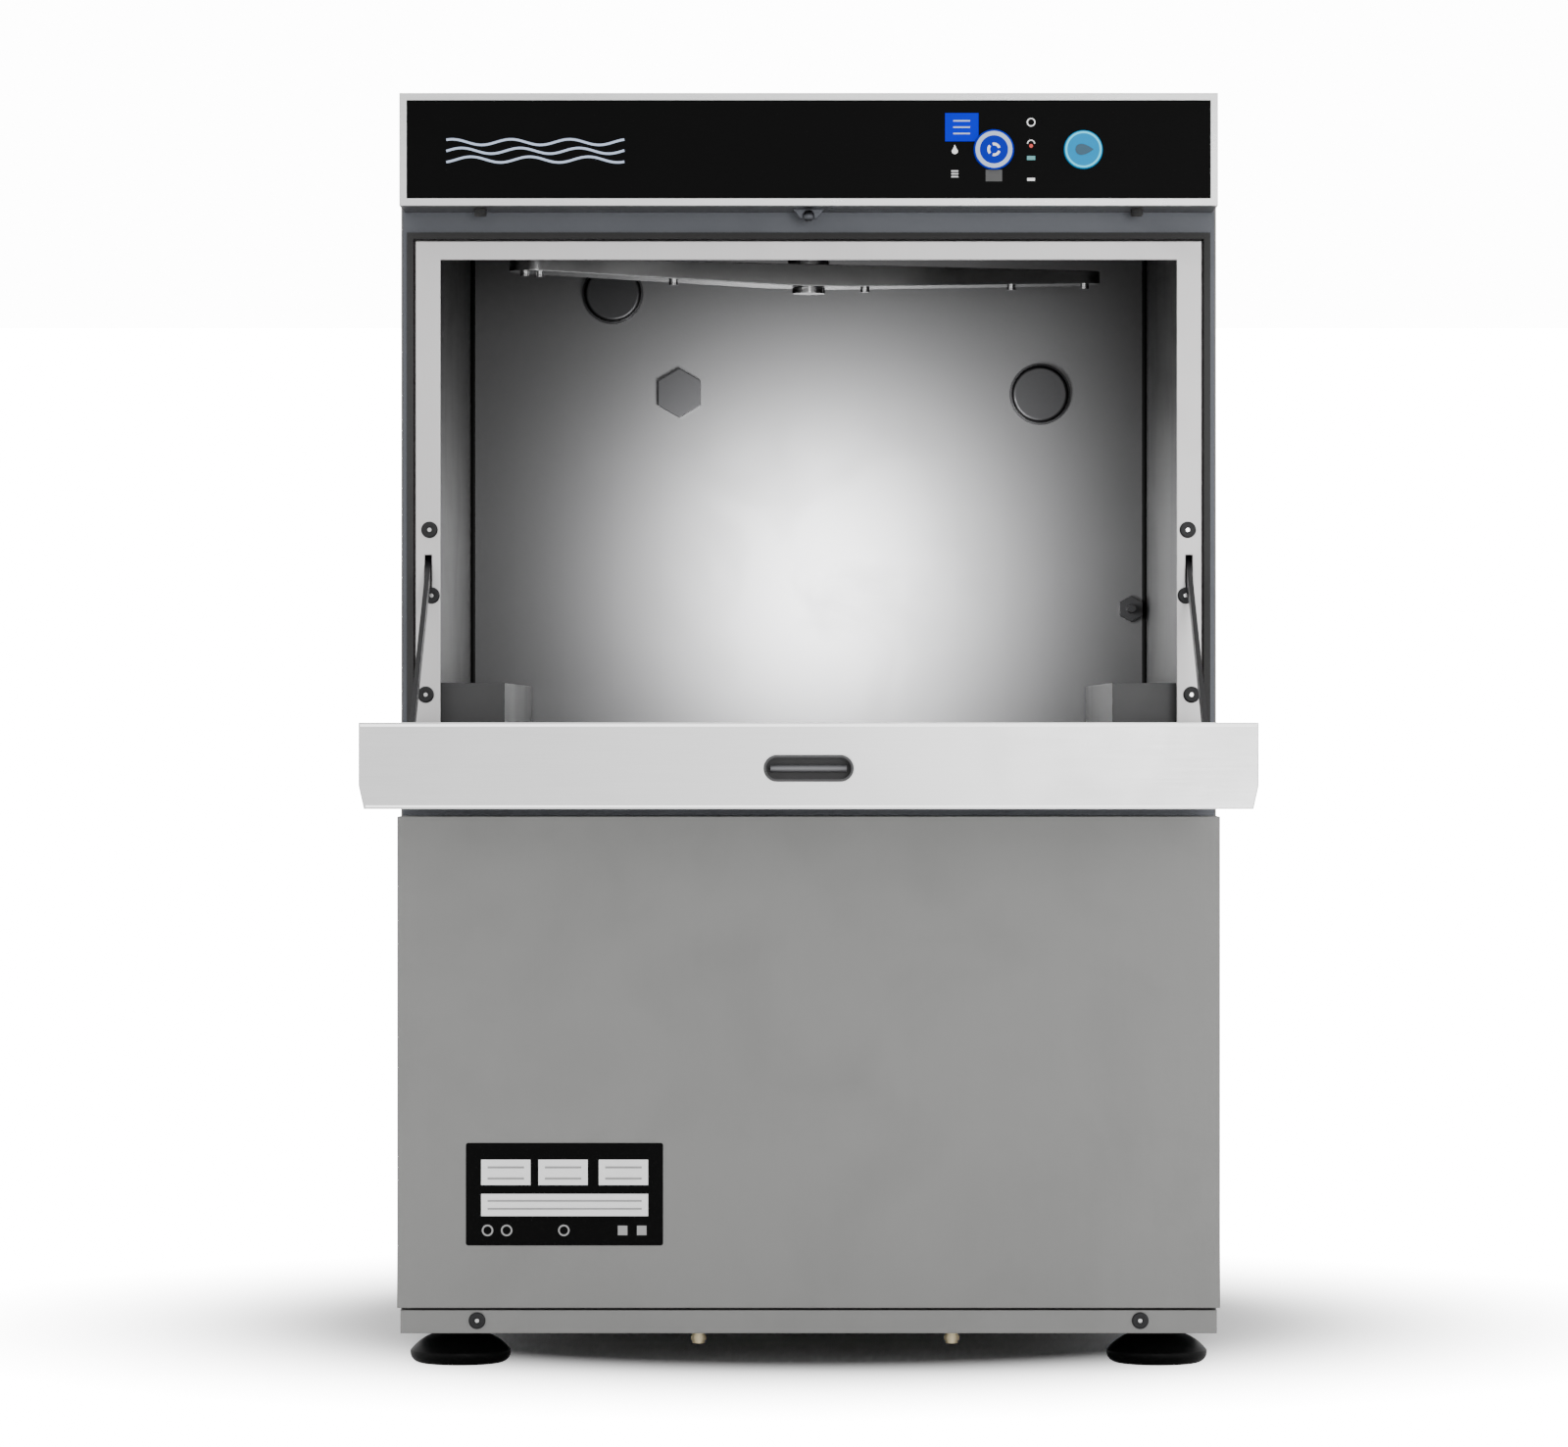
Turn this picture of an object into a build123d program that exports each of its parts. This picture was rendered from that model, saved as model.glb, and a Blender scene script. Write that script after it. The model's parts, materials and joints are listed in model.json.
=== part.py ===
from build123d import *
from math import atan2, cos, degrees, hypot, radians, sin, sqrt
import os

# A front-loading undercounter dishwasher with its door folded down, in millimetres.
# X runs to the right, Y from the front to the back and Z up. While the pieces are made, Y is 0 on
# the plane of the fascia. save() then moves every piece so that Y is 0 at the middle of the whole
# machine. The door and its pieces are drawn shut and then turned down about the hinge.

# ---------------------------------------------------------------- driving dimensions
CABINET_WIDTH = 520.0
CABINET_HEIGHT = 806.0
CABINET_DEPTH = 575.0
CASING_SHEET = 1.2

BASE_HEIGHT = 24.0            # underside of the base tray above the floor
TRAY_LIP = 16.0

FRAME_SETBACK = 56.0          # front frame plate behind the fascia plane
PORTAL_INSET = 8.0            # raised frame around the chamber mouth, in from the side
PORTAL_BELOW_FASCIA = 16.9
PORTAL_BOTTOM = 384.0
PORTAL_MEMBER = 17.2          # width of its upright and lower members
PORTAL_HEAD = 13.3            # height of its top member
PORTAL_BEVEL = 1.6
PORTAL_THICKNESS = 2.0

CHAMBER_INSET = 22.0
CHAMBER_BACK_GAP = 84.8
CHAMBER_FLOOR = 345.0
CHAMBER_BELOW_TOP = 61.0

TANK_HALF_WIDTH = 183.0
TANK_FRONT_GAP = 34.8         # from the front frame to the tank front
TANK_BACK_GAP = 41.0          # from the chamber back to the tank back
TANK_BOTTOM = 250.0
TANK_SHEET = 1.5
TANK_LEDGE = 14.0             # chamber floor left standing inside the tank's walls

FASCIA_INSET = 2.4
FASCIA_DROP = 71.1            # lower edge of the fascia below the top of the machine
FASCIA_BORDER = 4.6
OVERLAY_THICKNESS = 2.2
OVERLAY_RECESS = 0.8

LOWER_PANEL_INSET = 1.0
LOWER_PANEL_BOTTOM = 41.1
LOWER_PANEL_TOP = 350.4
KICK_INSET = 3.0
KICK_BOTTOM = 25.0
KICK_TOP = 39.6
KICK_SETBACK = 2.0

PLATE_LEFT = -215.6
PLATE_WIDTH = 124.0
PLATE_BOTTOM = 80.5
PLATE_HEIGHT = 64.5
PLATE_THICKNESS = 0.6

DOOR_SIDE_GAP = 0.5
DOOR_THICKNESS = 50.0
DOOR_TOP_GAP = 9.6            # between the shut door and the fascia
DOOR_SHEET = 1.2
DOOR_EDGE_TO_HINGE = 16.0     # lower edge of the shut door to the hinge axis
HINGE_Y = 12.4
HINGE_Z = 372.0
DOOR_LEAN = 3.0               # how far the side walls lean in near the outer face
DOOR_LEAN_DEPTH = 13.6
DISH_INSET = 38.0
DISH_DEPTH = 22.0
DISH_MARGIN = 27.0

HINGE_INSET = 15.0            # middle of each hinge bracket, in from the side
HINGE_PIN_RADIUS = 4.0
BRACKET_THICKNESS = 5.0
BRACKET_RADIUS = 8.0
RUNNING_CLEARANCE = 0.05
SWING_CLEARANCE = 1.0

STAY_INSET = 17.5             # middle of each stay arm, in from the side
STAY_THICKNESS = 3.0
STAY_WIDTH = 10.0
STAY_SLOT_Z = 506.0           # where the arm passes through the front frame
STAY_SLOT_HEIGHT = 21.0
STAY_SLOT_WIDTH = 4.6
STAY_PIN_DEPTH = 9.6          # arm pivot below the inner face of the door
STAY_PIN_RADIUS = 3.0
STAY_STOP_RADIUS = 4.0
STAY_STOP_PAST_SLOT = 7.0
STAY_TAIL = 8.0

SPRING_RADIUS = 6.0
SPRING_SHUT_LENGTH = 190.0
SPRING_INSET = 11.0

LATCH_LENGTH = 52.0
LATCH_WIDTH = 15.4
LATCH_FROM_FACE = 23.5
LATCH_DEPTH = 14.0
ROLLER_LENGTH = 44.0
ROLLER_RADIUS = 2.0
STRIKE_GAP = 1.4              # between the strike ball and the shut door's edge
STRIKE_RADIUS = 3.7

HUB_BEHIND_FRAME = 214.8      # both wash arms turn about this line
ARM_RADIUS = 208.0
ARM_WIDTH = 34.0
ARM_HUB_HEIGHT = 14.5
ARM_TIP_HEIGHT = 8.0
ARM_TURN = 18.5               # how far the arms stand round from the X axis
UPPER_ARM_DROP = 28.7         # below the chamber ceiling
LOWER_ARM_BOTTOM = 378.3
SPINDLE_RADIUS = 8.0
SPINDLE_COLLAR = 14.0
SPINDLE_COLLAR_LENGTH = 28.4
SPINDLE_NUT_RADIUS = 11.0
SPINDLE_NUT_HEIGHT = 4.0
ARM_PLAY = 0.3
NOZZLE_RADIUS = 3.0
NOZZLE_HEIGHT = 3.0

RAIL_WIDTH = 43.0
RAIL_TOP = 435.0
RAIL_HEIGHT = 33.0
RAIL_FRONT_GAP = 22.8
RAIL_BACK_GAP = 11.0

PUMP_NECK = 8.0               # outlet neck behind the pump body
RISER_GAP = 8.0               # from the end of the neck to the riser of the wash manifold
PUMP_Z = 125.0
PUMP_RADIUS = 52.0
PUMP_HALF_LENGTH = 20.0
PUMP_WALL = 6.0
PUMP_INLET_RADIUS = 18.0
MOTOR_RADIUS = 48.0
MOTOR_LENGTH = 165.0
SHAFT_RADIUS = 8.0

FEED_RADIUS = 16.0
FEED_WALL = 2.0
FEED_BEND = 45.0
FEED_BACK_GAP = 43.0
FEED_DROP = 31.0
RISER_RADIUS = 14.0

SUMP_X = 110.0
SUMP_RADIUS = 42.0
SUMP_DEPTH = 60.0
SUMP_WALL = 2.5

DRAIN_PUMP_RADIUS = 26.0
DRAIN_PUMP_LENGTH = 70.0
DRAIN_RADIUS = 10.0
DRAIN_X = 200.0
DRAIN_Z = 90.0
SPIGOT_REACH = 17.0           # how far the spigots stand out of the back panel

BOILER_X = -165.0
BOILER_Z = 115.0
BOILER_RADIUS = 62.0
BOILER_LENGTH = 200.0
BOILER_BACK_GAP = 55.0
BOILER_WALL = 2.0
BOILER_FLANGE = 37.0
INLET_RADIUS = 13.2
INLET_BORE = 9.0
THREAD_STEP = 1.2             # spigots are this much slimmer through the back panel
INLET_Z = 85.0
RINSE_PIPE_RADIUS = 6.0

FOOT_INSET = 37.0
FOOT_FRONT_GAP = 17.8         # middle of the front feet behind the front frame
FOOT_BACK_GAP = 55.0
FOOT_RADIUS = 32.0
FOOT_GAP = 0.5                # foot's collar to the underside of the tray
STUD_RADIUS = 5.0
STUD_LENGTH = 40.0
BOSS_RADIUS = 10.0
BOSS_HEIGHT = 12.0

SCREW_RADIUS = 5.3
SCREW_HEIGHT = 2.0
FRAME_SCREW_INSETS = [(18.3, 532.5), (19.6, 490.6), (15.9, 427.4)]
KICK_SCREW_INSET = 51.3
KICK_SCREW_Z = 33.0

# ---------------------------------------------------------------- worked out from them
HALF_WIDTH = CABINET_WIDTH / 2
INNER_HALF_WIDTH = HALF_WIDTH - CASING_SHEET
FRAME_BACK = FRAME_SETBACK + CASING_SHEET
BACK_INNER = CABINET_DEPTH - CASING_SHEET
TOP_INNER = CABINET_HEIGHT - CASING_SHEET
TRAY_TOP = BASE_HEIGHT + CASING_SHEET
CHAMBER_HALF_WIDTH = HALF_WIDTH - CHAMBER_INSET
CHAMBER_BACK = BACK_INNER - CHAMBER_BACK_GAP
CHAMBER_CEILING = CABINET_HEIGHT - CHAMBER_BELOW_TOP
UPPER_ARM_TOP = CHAMBER_CEILING - UPPER_ARM_DROP
TANK_FRONT = FRAME_BACK + TANK_FRONT_GAP
TANK_BACK = CHAMBER_BACK - TANK_BACK_GAP
RAIL_FRONT = FRAME_BACK + RAIL_FRONT_GAP
FOOT_FRONT_Y = FRAME_BACK + FOOT_FRONT_GAP
HUB_Y = FRAME_BACK + HUB_BEHIND_FRAME
PUMP_Y = HUB_Y - RISER_RADIUS - RISER_GAP - PUMP_NECK - PUMP_RADIUS
RAIL_BACK = CHAMBER_BACK - RAIL_BACK_GAP
CHAMBER_OUTER_BACK = CHAMBER_BACK + CASING_SHEET
CHAMBER_OUTER_HALF = CHAMBER_HALF_WIDTH + CASING_SHEET
PORTAL_FRONT = FRAME_SETBACK - PORTAL_THICKNESS
PORTAL_HALF_WIDTH = HALF_WIDTH - PORTAL_INSET
FASCIA_HALF_WIDTH = HALF_WIDTH - FASCIA_INSET
FASCIA_BOTTOM = CABINET_HEIGHT - FASCIA_DROP
PORTAL_TOP = FASCIA_BOTTOM - PORTAL_BELOW_FASCIA
LOWER_PANEL_HALF_WIDTH = HALF_WIDTH - LOWER_PANEL_INSET
KICK_HALF_WIDTH = HALF_WIDTH - KICK_INSET
MOUTH_HALF_WIDTH = PORTAL_HALF_WIDTH - PORTAL_MEMBER
MOUTH_TOP = PORTAL_TOP - PORTAL_HEAD
MOUTH_BOTTOM = PORTAL_BOTTOM + PORTAL_MEMBER
DOOR_BOTTOM = HINGE_Z - DOOR_EDGE_TO_HINGE
DOOR_TOP = FASCIA_BOTTOM - DOOR_TOP_GAP
DOOR_HALF_WIDTH = HALF_WIDTH - DOOR_SIDE_GAP
DOOR_WIDTH = 2 * DOOR_HALF_WIDTH
DISH_HALF_WIDTH = HALF_WIDTH - DISH_INSET
HINGE_X = HALF_WIDTH - HINGE_INSET
STAY_X = HALF_WIDTH - STAY_INSET
SPRING_X = HALF_WIDTH - SPRING_INSET
FOOT_X = HALF_WIDTH - FOOT_INSET
FOOT_BACK_Y = CABINET_DEPTH - FOOT_BACK_GAP
FEED_BACK_Y = CABINET_DEPTH - FEED_BACK_GAP
FEED_TOP_Z = CABINET_HEIGHT - FEED_DROP
BOILER_BACK = CABINET_DEPTH - BOILER_BACK_GAP
BOILER_FRONT = BOILER_BACK - BOILER_LENGTH
FRAME_SCREWS = [(HALF_WIDTH - inset, z) for inset, z in FRAME_SCREW_INSETS]
KICK_SCREW_X = HALF_WIDTH - KICK_SCREW_INSET
DOOR_INNER_HALF = DOOR_HALF_WIDTH - DOOR_SHEET

# The stay arm's pivot on the door is as far from the hinge as the slot is, so the arm turns by
# exactly half the door's angle and always passes through the middle of the slot.
STAY_PIN_OUT = DOOR_THICKNESS - STAY_PIN_DEPTH - HINGE_Y
SLOT_RADIUS = hypot(FRAME_SETBACK - HINGE_Y, STAY_SLOT_Z - HINGE_Z)
STAY_PIN_ALONG = sqrt(SLOT_RADIUS**2 - STAY_PIN_OUT**2)
PIN_OPEN = (HINGE_Y - STAY_PIN_ALONG, HINGE_Z + STAY_PIN_OUT)
PIN_SHUT = (HINGE_Y + STAY_PIN_OUT, HINGE_Z + STAY_PIN_ALONG)
SLOT_POINT = (FRAME_SETBACK, STAY_SLOT_Z)
STAY_REACH = hypot(SLOT_POINT[0] - PIN_OPEN[0], SLOT_POINT[1] - PIN_OPEN[1])
STAY_ANGLE = atan2(SLOT_POINT[1] - PIN_OPEN[1], SLOT_POINT[0] - PIN_OPEN[0])
STAY_ANGLE_SHUT = atan2(SLOT_POINT[1] - PIN_SHUT[1], SLOT_POINT[0] - PIN_SHUT[0])
STOP_REACH = STAY_REACH + STAY_STOP_PAST_SLOT


def along(point, angle, distance):
    """The point at a distance from another in the YZ plane."""
    return (point[0] + distance * cos(angle), point[1] + distance * sin(angle))


STOP_OPEN = along(PIN_OPEN, STAY_ANGLE, STOP_REACH)
STOP_SHUT = along(PIN_SHUT, STAY_ANGLE_SHUT, STOP_REACH)
SPRING_ANGLE = atan2(STOP_SHUT[1] - STOP_OPEN[1], STOP_SHUT[0] - STOP_OPEN[0])
SPRING_ANCHOR = along(STOP_SHUT, SPRING_ANGLE, SPRING_SHUT_LENGTH)

MACHINE_FRONT = HINGE_Y - (DOOR_TOP - HINGE_Z)
MACHINE_BACK = CABINET_DEPTH + SPIGOT_REACH
Y_SHIFT = -(MACHINE_FRONT + MACHINE_BACK) / 2

os.makedirs("parts", exist_ok=True)


# ---------------------------------------------------------------- helpers
def save(name, *shapes):
    """Write one node, moved so that the machine's middle is at Y 0."""
    solids = []
    for shape in shapes:
        solids += shape.solids()
    moved = [Pos(0, Y_SHIFT, 0) * solid for solid in solids]
    whole = moved[0] if len(moved) == 1 else Compound(children=moved)
    export_step(whole, f"parts/{name}.step")


def block(x0, x1, y0, y1, z0, z1):
    """A box between two corners."""
    middle = ((x0 + x1) / 2, (y0 + y1) / 2, (z0 + z1) / 2)
    return Pos(*middle) * Box(abs(x1 - x0), abs(y1 - y0), abs(z1 - z0))


def rod_x(x0, x1, y, z, radius):
    """A round bar along X."""
    return Pos((x0 + x1) / 2, y, z) * Rot(0, 90, 0) * Cylinder(radius, abs(x1 - x0))


def rod_y(x, y0, y1, z, radius):
    """A round bar along Y."""
    return Pos(x, (y0 + y1) / 2, z) * Rot(90, 0, 0) * Cylinder(radius, abs(y1 - y0))


def rod_z(x, y, z0, z1, radius):
    """A round bar along Z."""
    return Pos(x, y, (z0 + z1) / 2) * Cylinder(radius, abs(z1 - z0))


def hexagon_y(x, y0, y1, z, corner_radius):
    """A hexagonal bar along Y with a corner upwards."""
    sketch = RegularPolygon(corner_radius, 6, rotation=30)
    return Pos(x, y1, z) * Rot(90, 0, 0) * extrude(sketch, y1 - y0)


def tray(x0, x1, y0, y1, z0, z1, sheet):
    """A folded pan with its floor at y0 and its open side at y1."""
    inside = block(x0 + sheet, x1 - sheet, y0 + sheet, y1 + 1, z0 + sheet, z1 - sheet)
    return block(x0, x1, y0, y1, z0, z1) - inside


def pipe(points, radii, radius):
    """A round bar along straight runs joined by tangent arcs."""
    path = FilletPolyline(*points, radius=radii)
    section = Plane(path @ 0, z_dir=path % 0) * Circle(radius)
    return sweep(section, path)


def other_side(shape):
    """The same piece on the other side of the machine."""
    return mirror(shape, about=Plane.YZ)


def fold_down(shape):
    """Turn a piece of the shut door down about the hinge."""
    return shape.rotate(Axis((0, HINGE_Y, HINGE_Z), (1, 0, 0)), 90)


# ---------------------------------------------------------------- cabinet
def base_tray():
    """Floor of the machine, lipped all round, with a threaded boss over each foot."""
    top = TRAY_TOP + TRAY_LIP
    outer = block(-INNER_HALF_WIDTH, INNER_HALF_WIDTH, FRAME_BACK, BACK_INNER, BASE_HEIGHT, top)
    inner = block(
        -INNER_HALF_WIDTH + CASING_SHEET, INNER_HALF_WIDTH - CASING_SHEET,
        FRAME_BACK + CASING_SHEET, BACK_INNER - CASING_SHEET, TRAY_TOP, top + 1,
    )
    shape = outer - inner
    for x, y in foot_places().values():
        shape += rod_z(x, y, TRAY_TOP, TRAY_TOP + BOSS_HEIGHT, BOSS_RADIUS)
        shape -= rod_z(x, y, 0, TRAY_TOP + BOSS_HEIGHT + 1, STUD_RADIUS + RUNNING_CLEARANCE)
    for x in NIPPLE_X:
        shape -= rod_z(x, NIPPLE_Y, 0, TRAY_TOP + 1, NIPPLE_RADIUS)
    return shape


def side_panel():
    """Right side: one sheet from the front frame to the back."""
    return block(INNER_HALF_WIDTH, HALF_WIDTH, FRAME_SETBACK, CABINET_DEPTH, BASE_HEIGHT, TOP_INNER)


def back_panel():
    """Back sheet, with holes for the inlet, the drain and the cable."""
    shape = block(-INNER_HALF_WIDTH, INNER_HALF_WIDTH, BACK_INNER, CABINET_DEPTH, BASE_HEIGHT, TOP_INNER)
    holes = [
        (BOILER_X, INLET_Z, INLET_RADIUS - THREAD_STEP), (DRAIN_X, DRAIN_Z, SPIGOT_RADIUS - THREAD_STEP),
        (GLAND_X, GLAND_Z, GLAND_RADIUS),
    ]
    for x, z, radius in holes:
        shape -= rod_y(x, BACK_INNER - 1, CABINET_DEPTH + 1, z, radius)
    for row in range(VENT_ROWS):
        z = VENT_Z + row * VENT_PITCH
        for x in VENT_X:
            shape -= block(
                x - VENT_LENGTH / 2, x + VENT_LENGTH / 2, BACK_INNER - 1, CABINET_DEPTH + 1,
                z - VENT_WIDTH / 2, z + VENT_WIDTH / 2,
            )
    return shape


def top_panel():
    """Lid sheet over the side and back panels."""
    return block(-HALF_WIDTH, HALF_WIDTH, FRAME_SETBACK, CABINET_DEPTH, TOP_INNER, CABINET_HEIGHT)


def stay_slot(y0, y1):
    """The slot that a stay arm runs in, cut from y0 to y1 on the right side."""
    half = STAY_SLOT_WIDTH / 2
    low = STAY_SLOT_Z - STAY_SLOT_HEIGHT / 2
    return block(STAY_X - half, STAY_X + half, y0, y1, low, low + STAY_SLOT_HEIGHT)


def front_frame():
    """Plate behind the door, open at the chamber mouth and at the service bay."""
    shape = block(-INNER_HALF_WIDTH, INNER_HALF_WIDTH, FRAME_SETBACK, FRAME_BACK, BASE_HEIGHT, TOP_INNER)
    shape -= block(
        -MOUTH_HALF_WIDTH, MOUTH_HALF_WIDTH, FRAME_SETBACK - 1, FRAME_BACK + 1, MOUTH_BOTTOM, MOUTH_TOP
    )
    shape -= block(
        -BAY_HALF_WIDTH, BAY_HALF_WIDTH, FRAME_SETBACK - 1, FRAME_BACK + 1, BAY_BOTTOM, BAY_TOP
    )
    slot = stay_slot(FRAME_SETBACK - 1, FRAME_BACK + 1)
    half = BRACKET_THICKNESS / 2
    way = block(
        HINGE_X - half, HINGE_X + half, FRAME_SETBACK - 1, FRAME_BACK + 1,
        HINGE_Z - BRACKET_RADIUS, HINGE_Z + BRACKET_RADIUS,
    )
    for cut in (slot, way):
        shape = shape - cut - other_side(cut)
    return shape


def portal_frame():
    """Raised frame around the chamber mouth, bevelled along its outer edge."""
    outer = block(
        -PORTAL_HALF_WIDTH, PORTAL_HALF_WIDTH, PORTAL_FRONT, FRAME_SETBACK, PORTAL_BOTTOM, PORTAL_TOP
    )
    front = outer.faces().sort_by(Axis.Y)[0]
    outer = chamfer(front.edges(), PORTAL_BEVEL)
    hole = block(
        -MOUTH_HALF_WIDTH, MOUTH_HALF_WIDTH, PORTAL_FRONT - 1, FRAME_SETBACK + 1, MOUTH_BOTTOM, MOUTH_TOP
    )
    slot = stay_slot(PORTAL_FRONT - 1, FRAME_SETBACK + 1)
    return outer - hole - slot - other_side(slot)


def lower_front_panel():
    """Folded panel in front of the pump bay."""
    return tray(
        -LOWER_PANEL_HALF_WIDTH, LOWER_PANEL_HALF_WIDTH, 0, FRAME_SETBACK,
        LOWER_PANEL_BOTTOM, LOWER_PANEL_TOP, CASING_SHEET,
    )


def kick_strip():
    """Folded strip under the lower front panel."""
    return tray(
        -KICK_HALF_WIDTH, KICK_HALF_WIDTH, KICK_SETBACK, FRAME_SETBACK, KICK_BOTTOM, KICK_TOP, CASING_SHEET
    )


def panel_screws():
    """Button-head screws, three each side on the portal frame and two on the kick strip."""
    made = []
    for x, z in FRAME_SCREWS:
        screw = screw_head(x, PORTAL_FRONT, z)
        made += [screw, other_side(screw)]
    kick = screw_head(KICK_SCREW_X, KICK_SETBACK, KICK_SCREW_Z)
    return [*made, kick, other_side(kick)]


def screw_head(x, y, z):
    """A domed head with a socket, its underside at y."""
    head = rod_y(x, y - SCREW_HEIGHT, y, z, SCREW_RADIUS)
    rim = head.faces().sort_by(Axis.Y)[0].edges()
    head = fillet(rim, SCREW_HEIGHT * 0.6)
    return head - hexagon_y(x, y - SCREW_HEIGHT - 1, y - SCREW_HEIGHT / 2, z, SCREW_RADIUS * 0.45)


def data_plate():
    """Thin plate on the lower front panel."""
    shape = block(
        PLATE_LEFT, PLATE_LEFT + PLATE_WIDTH, -PLATE_THICKNESS, 0, PLATE_BOTTOM, PLATE_BOTTOM + PLATE_HEIGHT
    )
    return fillet(shape.edges().filter_by(Axis.Y), 1.5)


BAY_HALF_WIDTH = HALF_WIDTH - 35.0
BAY_BOTTOM = 60.0
BAY_TOP = 320.0
VENT_ROWS = 8
VENT_PITCH = 14.0
VENT_Z = 640.0
VENT_X = [-150.0, -50.0, 50.0, 150.0]
VENT_LENGTH = 70.0
VENT_WIDTH = 5.0
NIPPLE_X = [-70.5, 91.6]
NIPPLE_Y = FRAME_BACK + 17.8
NIPPLE_RADIUS = 4.0
GLAND_X = 60.0
GLAND_Z = 60.0
GLAND_RADIUS = 10.0
GLAND_BORE = 6.0
SPIGOT_RADIUS = 13.0


# ---------------------------------------------------------------- feet
def foot_places():
    """Name and place of each foot."""
    places = {}
    for row, y in (("front", FOOT_FRONT_Y), ("rear", FOOT_BACK_Y)):
        for side, x in (("left", -FOOT_X), ("right", FOOT_X)):
            places[f"foot_{row}_{side}"] = (x, y)
    return places


def foot(x, y):
    """Domed round foot with its threaded stud."""
    top = BASE_HEIGHT - FOOT_GAP
    sole = FOOT_RADIUS - 6
    rim = 8.0
    shoulder = 13.0
    with BuildPart() as made:
        with BuildSketch(Plane.XZ):
            with BuildLine():
                Polyline((0, 0), (sole, 0))
                ThreePointArc((sole, 0), (FOOT_RADIUS - 1.2, 2.6), (FOOT_RADIUS, rim))
                ThreePointArc((FOOT_RADIUS, rim), (FOOT_RADIUS - 8, rim + 7.2), (shoulder, top - 4))
                Polyline((shoulder, top - 4), (shoulder - 2, top), (STUD_RADIUS, top))
                Polyline((STUD_RADIUS, top), (STUD_RADIUS, top + STUD_LENGTH), (0, top + STUD_LENGTH), (0, 0))
            make_face()
        revolve(axis=Axis.Z)
    return Pos(x, y, 0) * made.part


# ---------------------------------------------------------------- fascia
OVERLAY_FIT = 0.2
WINDOW_LEFT = 85.9
WINDOW_WIDTH = 21.0
WINDOW_BOTTOM = CABINET_HEIGHT - 30.5
WINDOW_HEIGHT = 17.8
BUTTON_Z = CABINET_HEIGHT - 35.7
SELECT_X = 116.6
SELECT_RADIUS = 12.7
START_X = 172.9
START_RADIUS = 12.1
BUTTON_CLEARANCE = 0.3
BUTTON_PROUD = 0.8
BUTTON_FLANGE = 1.5
CARRIER_DEPTH = 36.0
FASCIA_TOP = CABINET_HEIGHT - 0.1
OVERLAY_BACK = OVERLAY_RECESS + OVERLAY_THICKNESS


def overlay_edges():
    """Left, right, bottom and top of the window in the bezel."""
    return (
        -FASCIA_HALF_WIDTH + FASCIA_BORDER, FASCIA_HALF_WIDTH - FASCIA_BORDER,
        FASCIA_BOTTOM + FASCIA_BORDER, FASCIA_TOP - FASCIA_BORDER,
    )


def button_ways(y0, y1):
    """The two round holes that the buttons run in."""
    select = rod_y(SELECT_X, y0, y1, BUTTON_Z, SELECT_RADIUS + BUTTON_CLEARANCE)
    start = rod_y(START_X, y0, y1, BUTTON_Z, START_RADIUS + BUTTON_CLEARANCE)
    return select + start


def control_bezel():
    """Folded metal fascia with a window for the overlay."""
    left, right, bottom, top = overlay_edges()
    shape = tray(
        -FASCIA_HALF_WIDTH, FASCIA_HALF_WIDTH, 0, FRAME_SETBACK, FASCIA_BOTTOM, FASCIA_TOP, CASING_SHEET
    )
    return shape - block(left, right, -1, CASING_SHEET + 1, bottom, top)


def control_overlay():
    """Black front sheet, cut for the display and the buttons."""
    left, right, bottom, top = overlay_edges()
    fit = OVERLAY_FIT
    shape = block(left + fit, right - fit, OVERLAY_RECESS, OVERLAY_BACK, bottom + fit, top - fit)
    shape -= button_ways(OVERLAY_RECESS - 1, OVERLAY_BACK + 1)
    return shape - display_window(OVERLAY_RECESS - 1, OVERLAY_BACK + 1)


def display_window(y0, y1):
    """Window over the display."""
    return block(
        WINDOW_LEFT, WINDOW_LEFT + WINDOW_WIDTH, y0, y1, WINDOW_BOTTOM, WINDOW_BOTTOM + WINDOW_HEIGHT
    )


def control_carrier():
    """Pan behind the overlay that carries the board."""
    half = FASCIA_HALF_WIDTH - CASING_SHEET
    shape = tray(
        -half, half, OVERLAY_BACK, OVERLAY_BACK + CARRIER_DEPTH,
        FASCIA_BOTTOM + CASING_SHEET, FASCIA_TOP - CASING_SHEET, CASING_SHEET,
    )
    return shape - button_ways(OVERLAY_BACK - 1, OVERLAY_BACK + CASING_SHEET + 1)


def control_board():
    """Circuit board with its relays and transformer."""
    front = OVERLAY_BACK + CASING_SHEET + 9
    low = FASCIA_BOTTOM + 7.1
    board = block(70, 200, front, front + 1.6, low, low + 56)
    for x, width, deep in ((80, 18, 14), (104, 18, 14), (128, 18, 14), (156, 34, 20)):
        board += block(x, x + width, front + 1.6, front + 1.6 + deep, low + 8, low + 32)
    for x in (74, 196):
        for z in (low + 4, low + 52):
            board += rod_y(x, OVERLAY_BACK + CASING_SHEET, front, z, 2)
    return board


def button(x, radius):
    """Round push button with a keeper flange behind the carrier."""
    back = OVERLAY_BACK + CASING_SHEET + BUTTON_FLANGE
    cap = rod_y(x, -BUTTON_PROUD, back + 1, BUTTON_Z, radius)
    cap = fillet(cap.faces().sort_by(Axis.Y)[0].edges(), 0.8)
    return cap + rod_y(x, back - BUTTON_FLANGE + 0.2, back + 1, BUTTON_Z, radius + 2)


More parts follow.
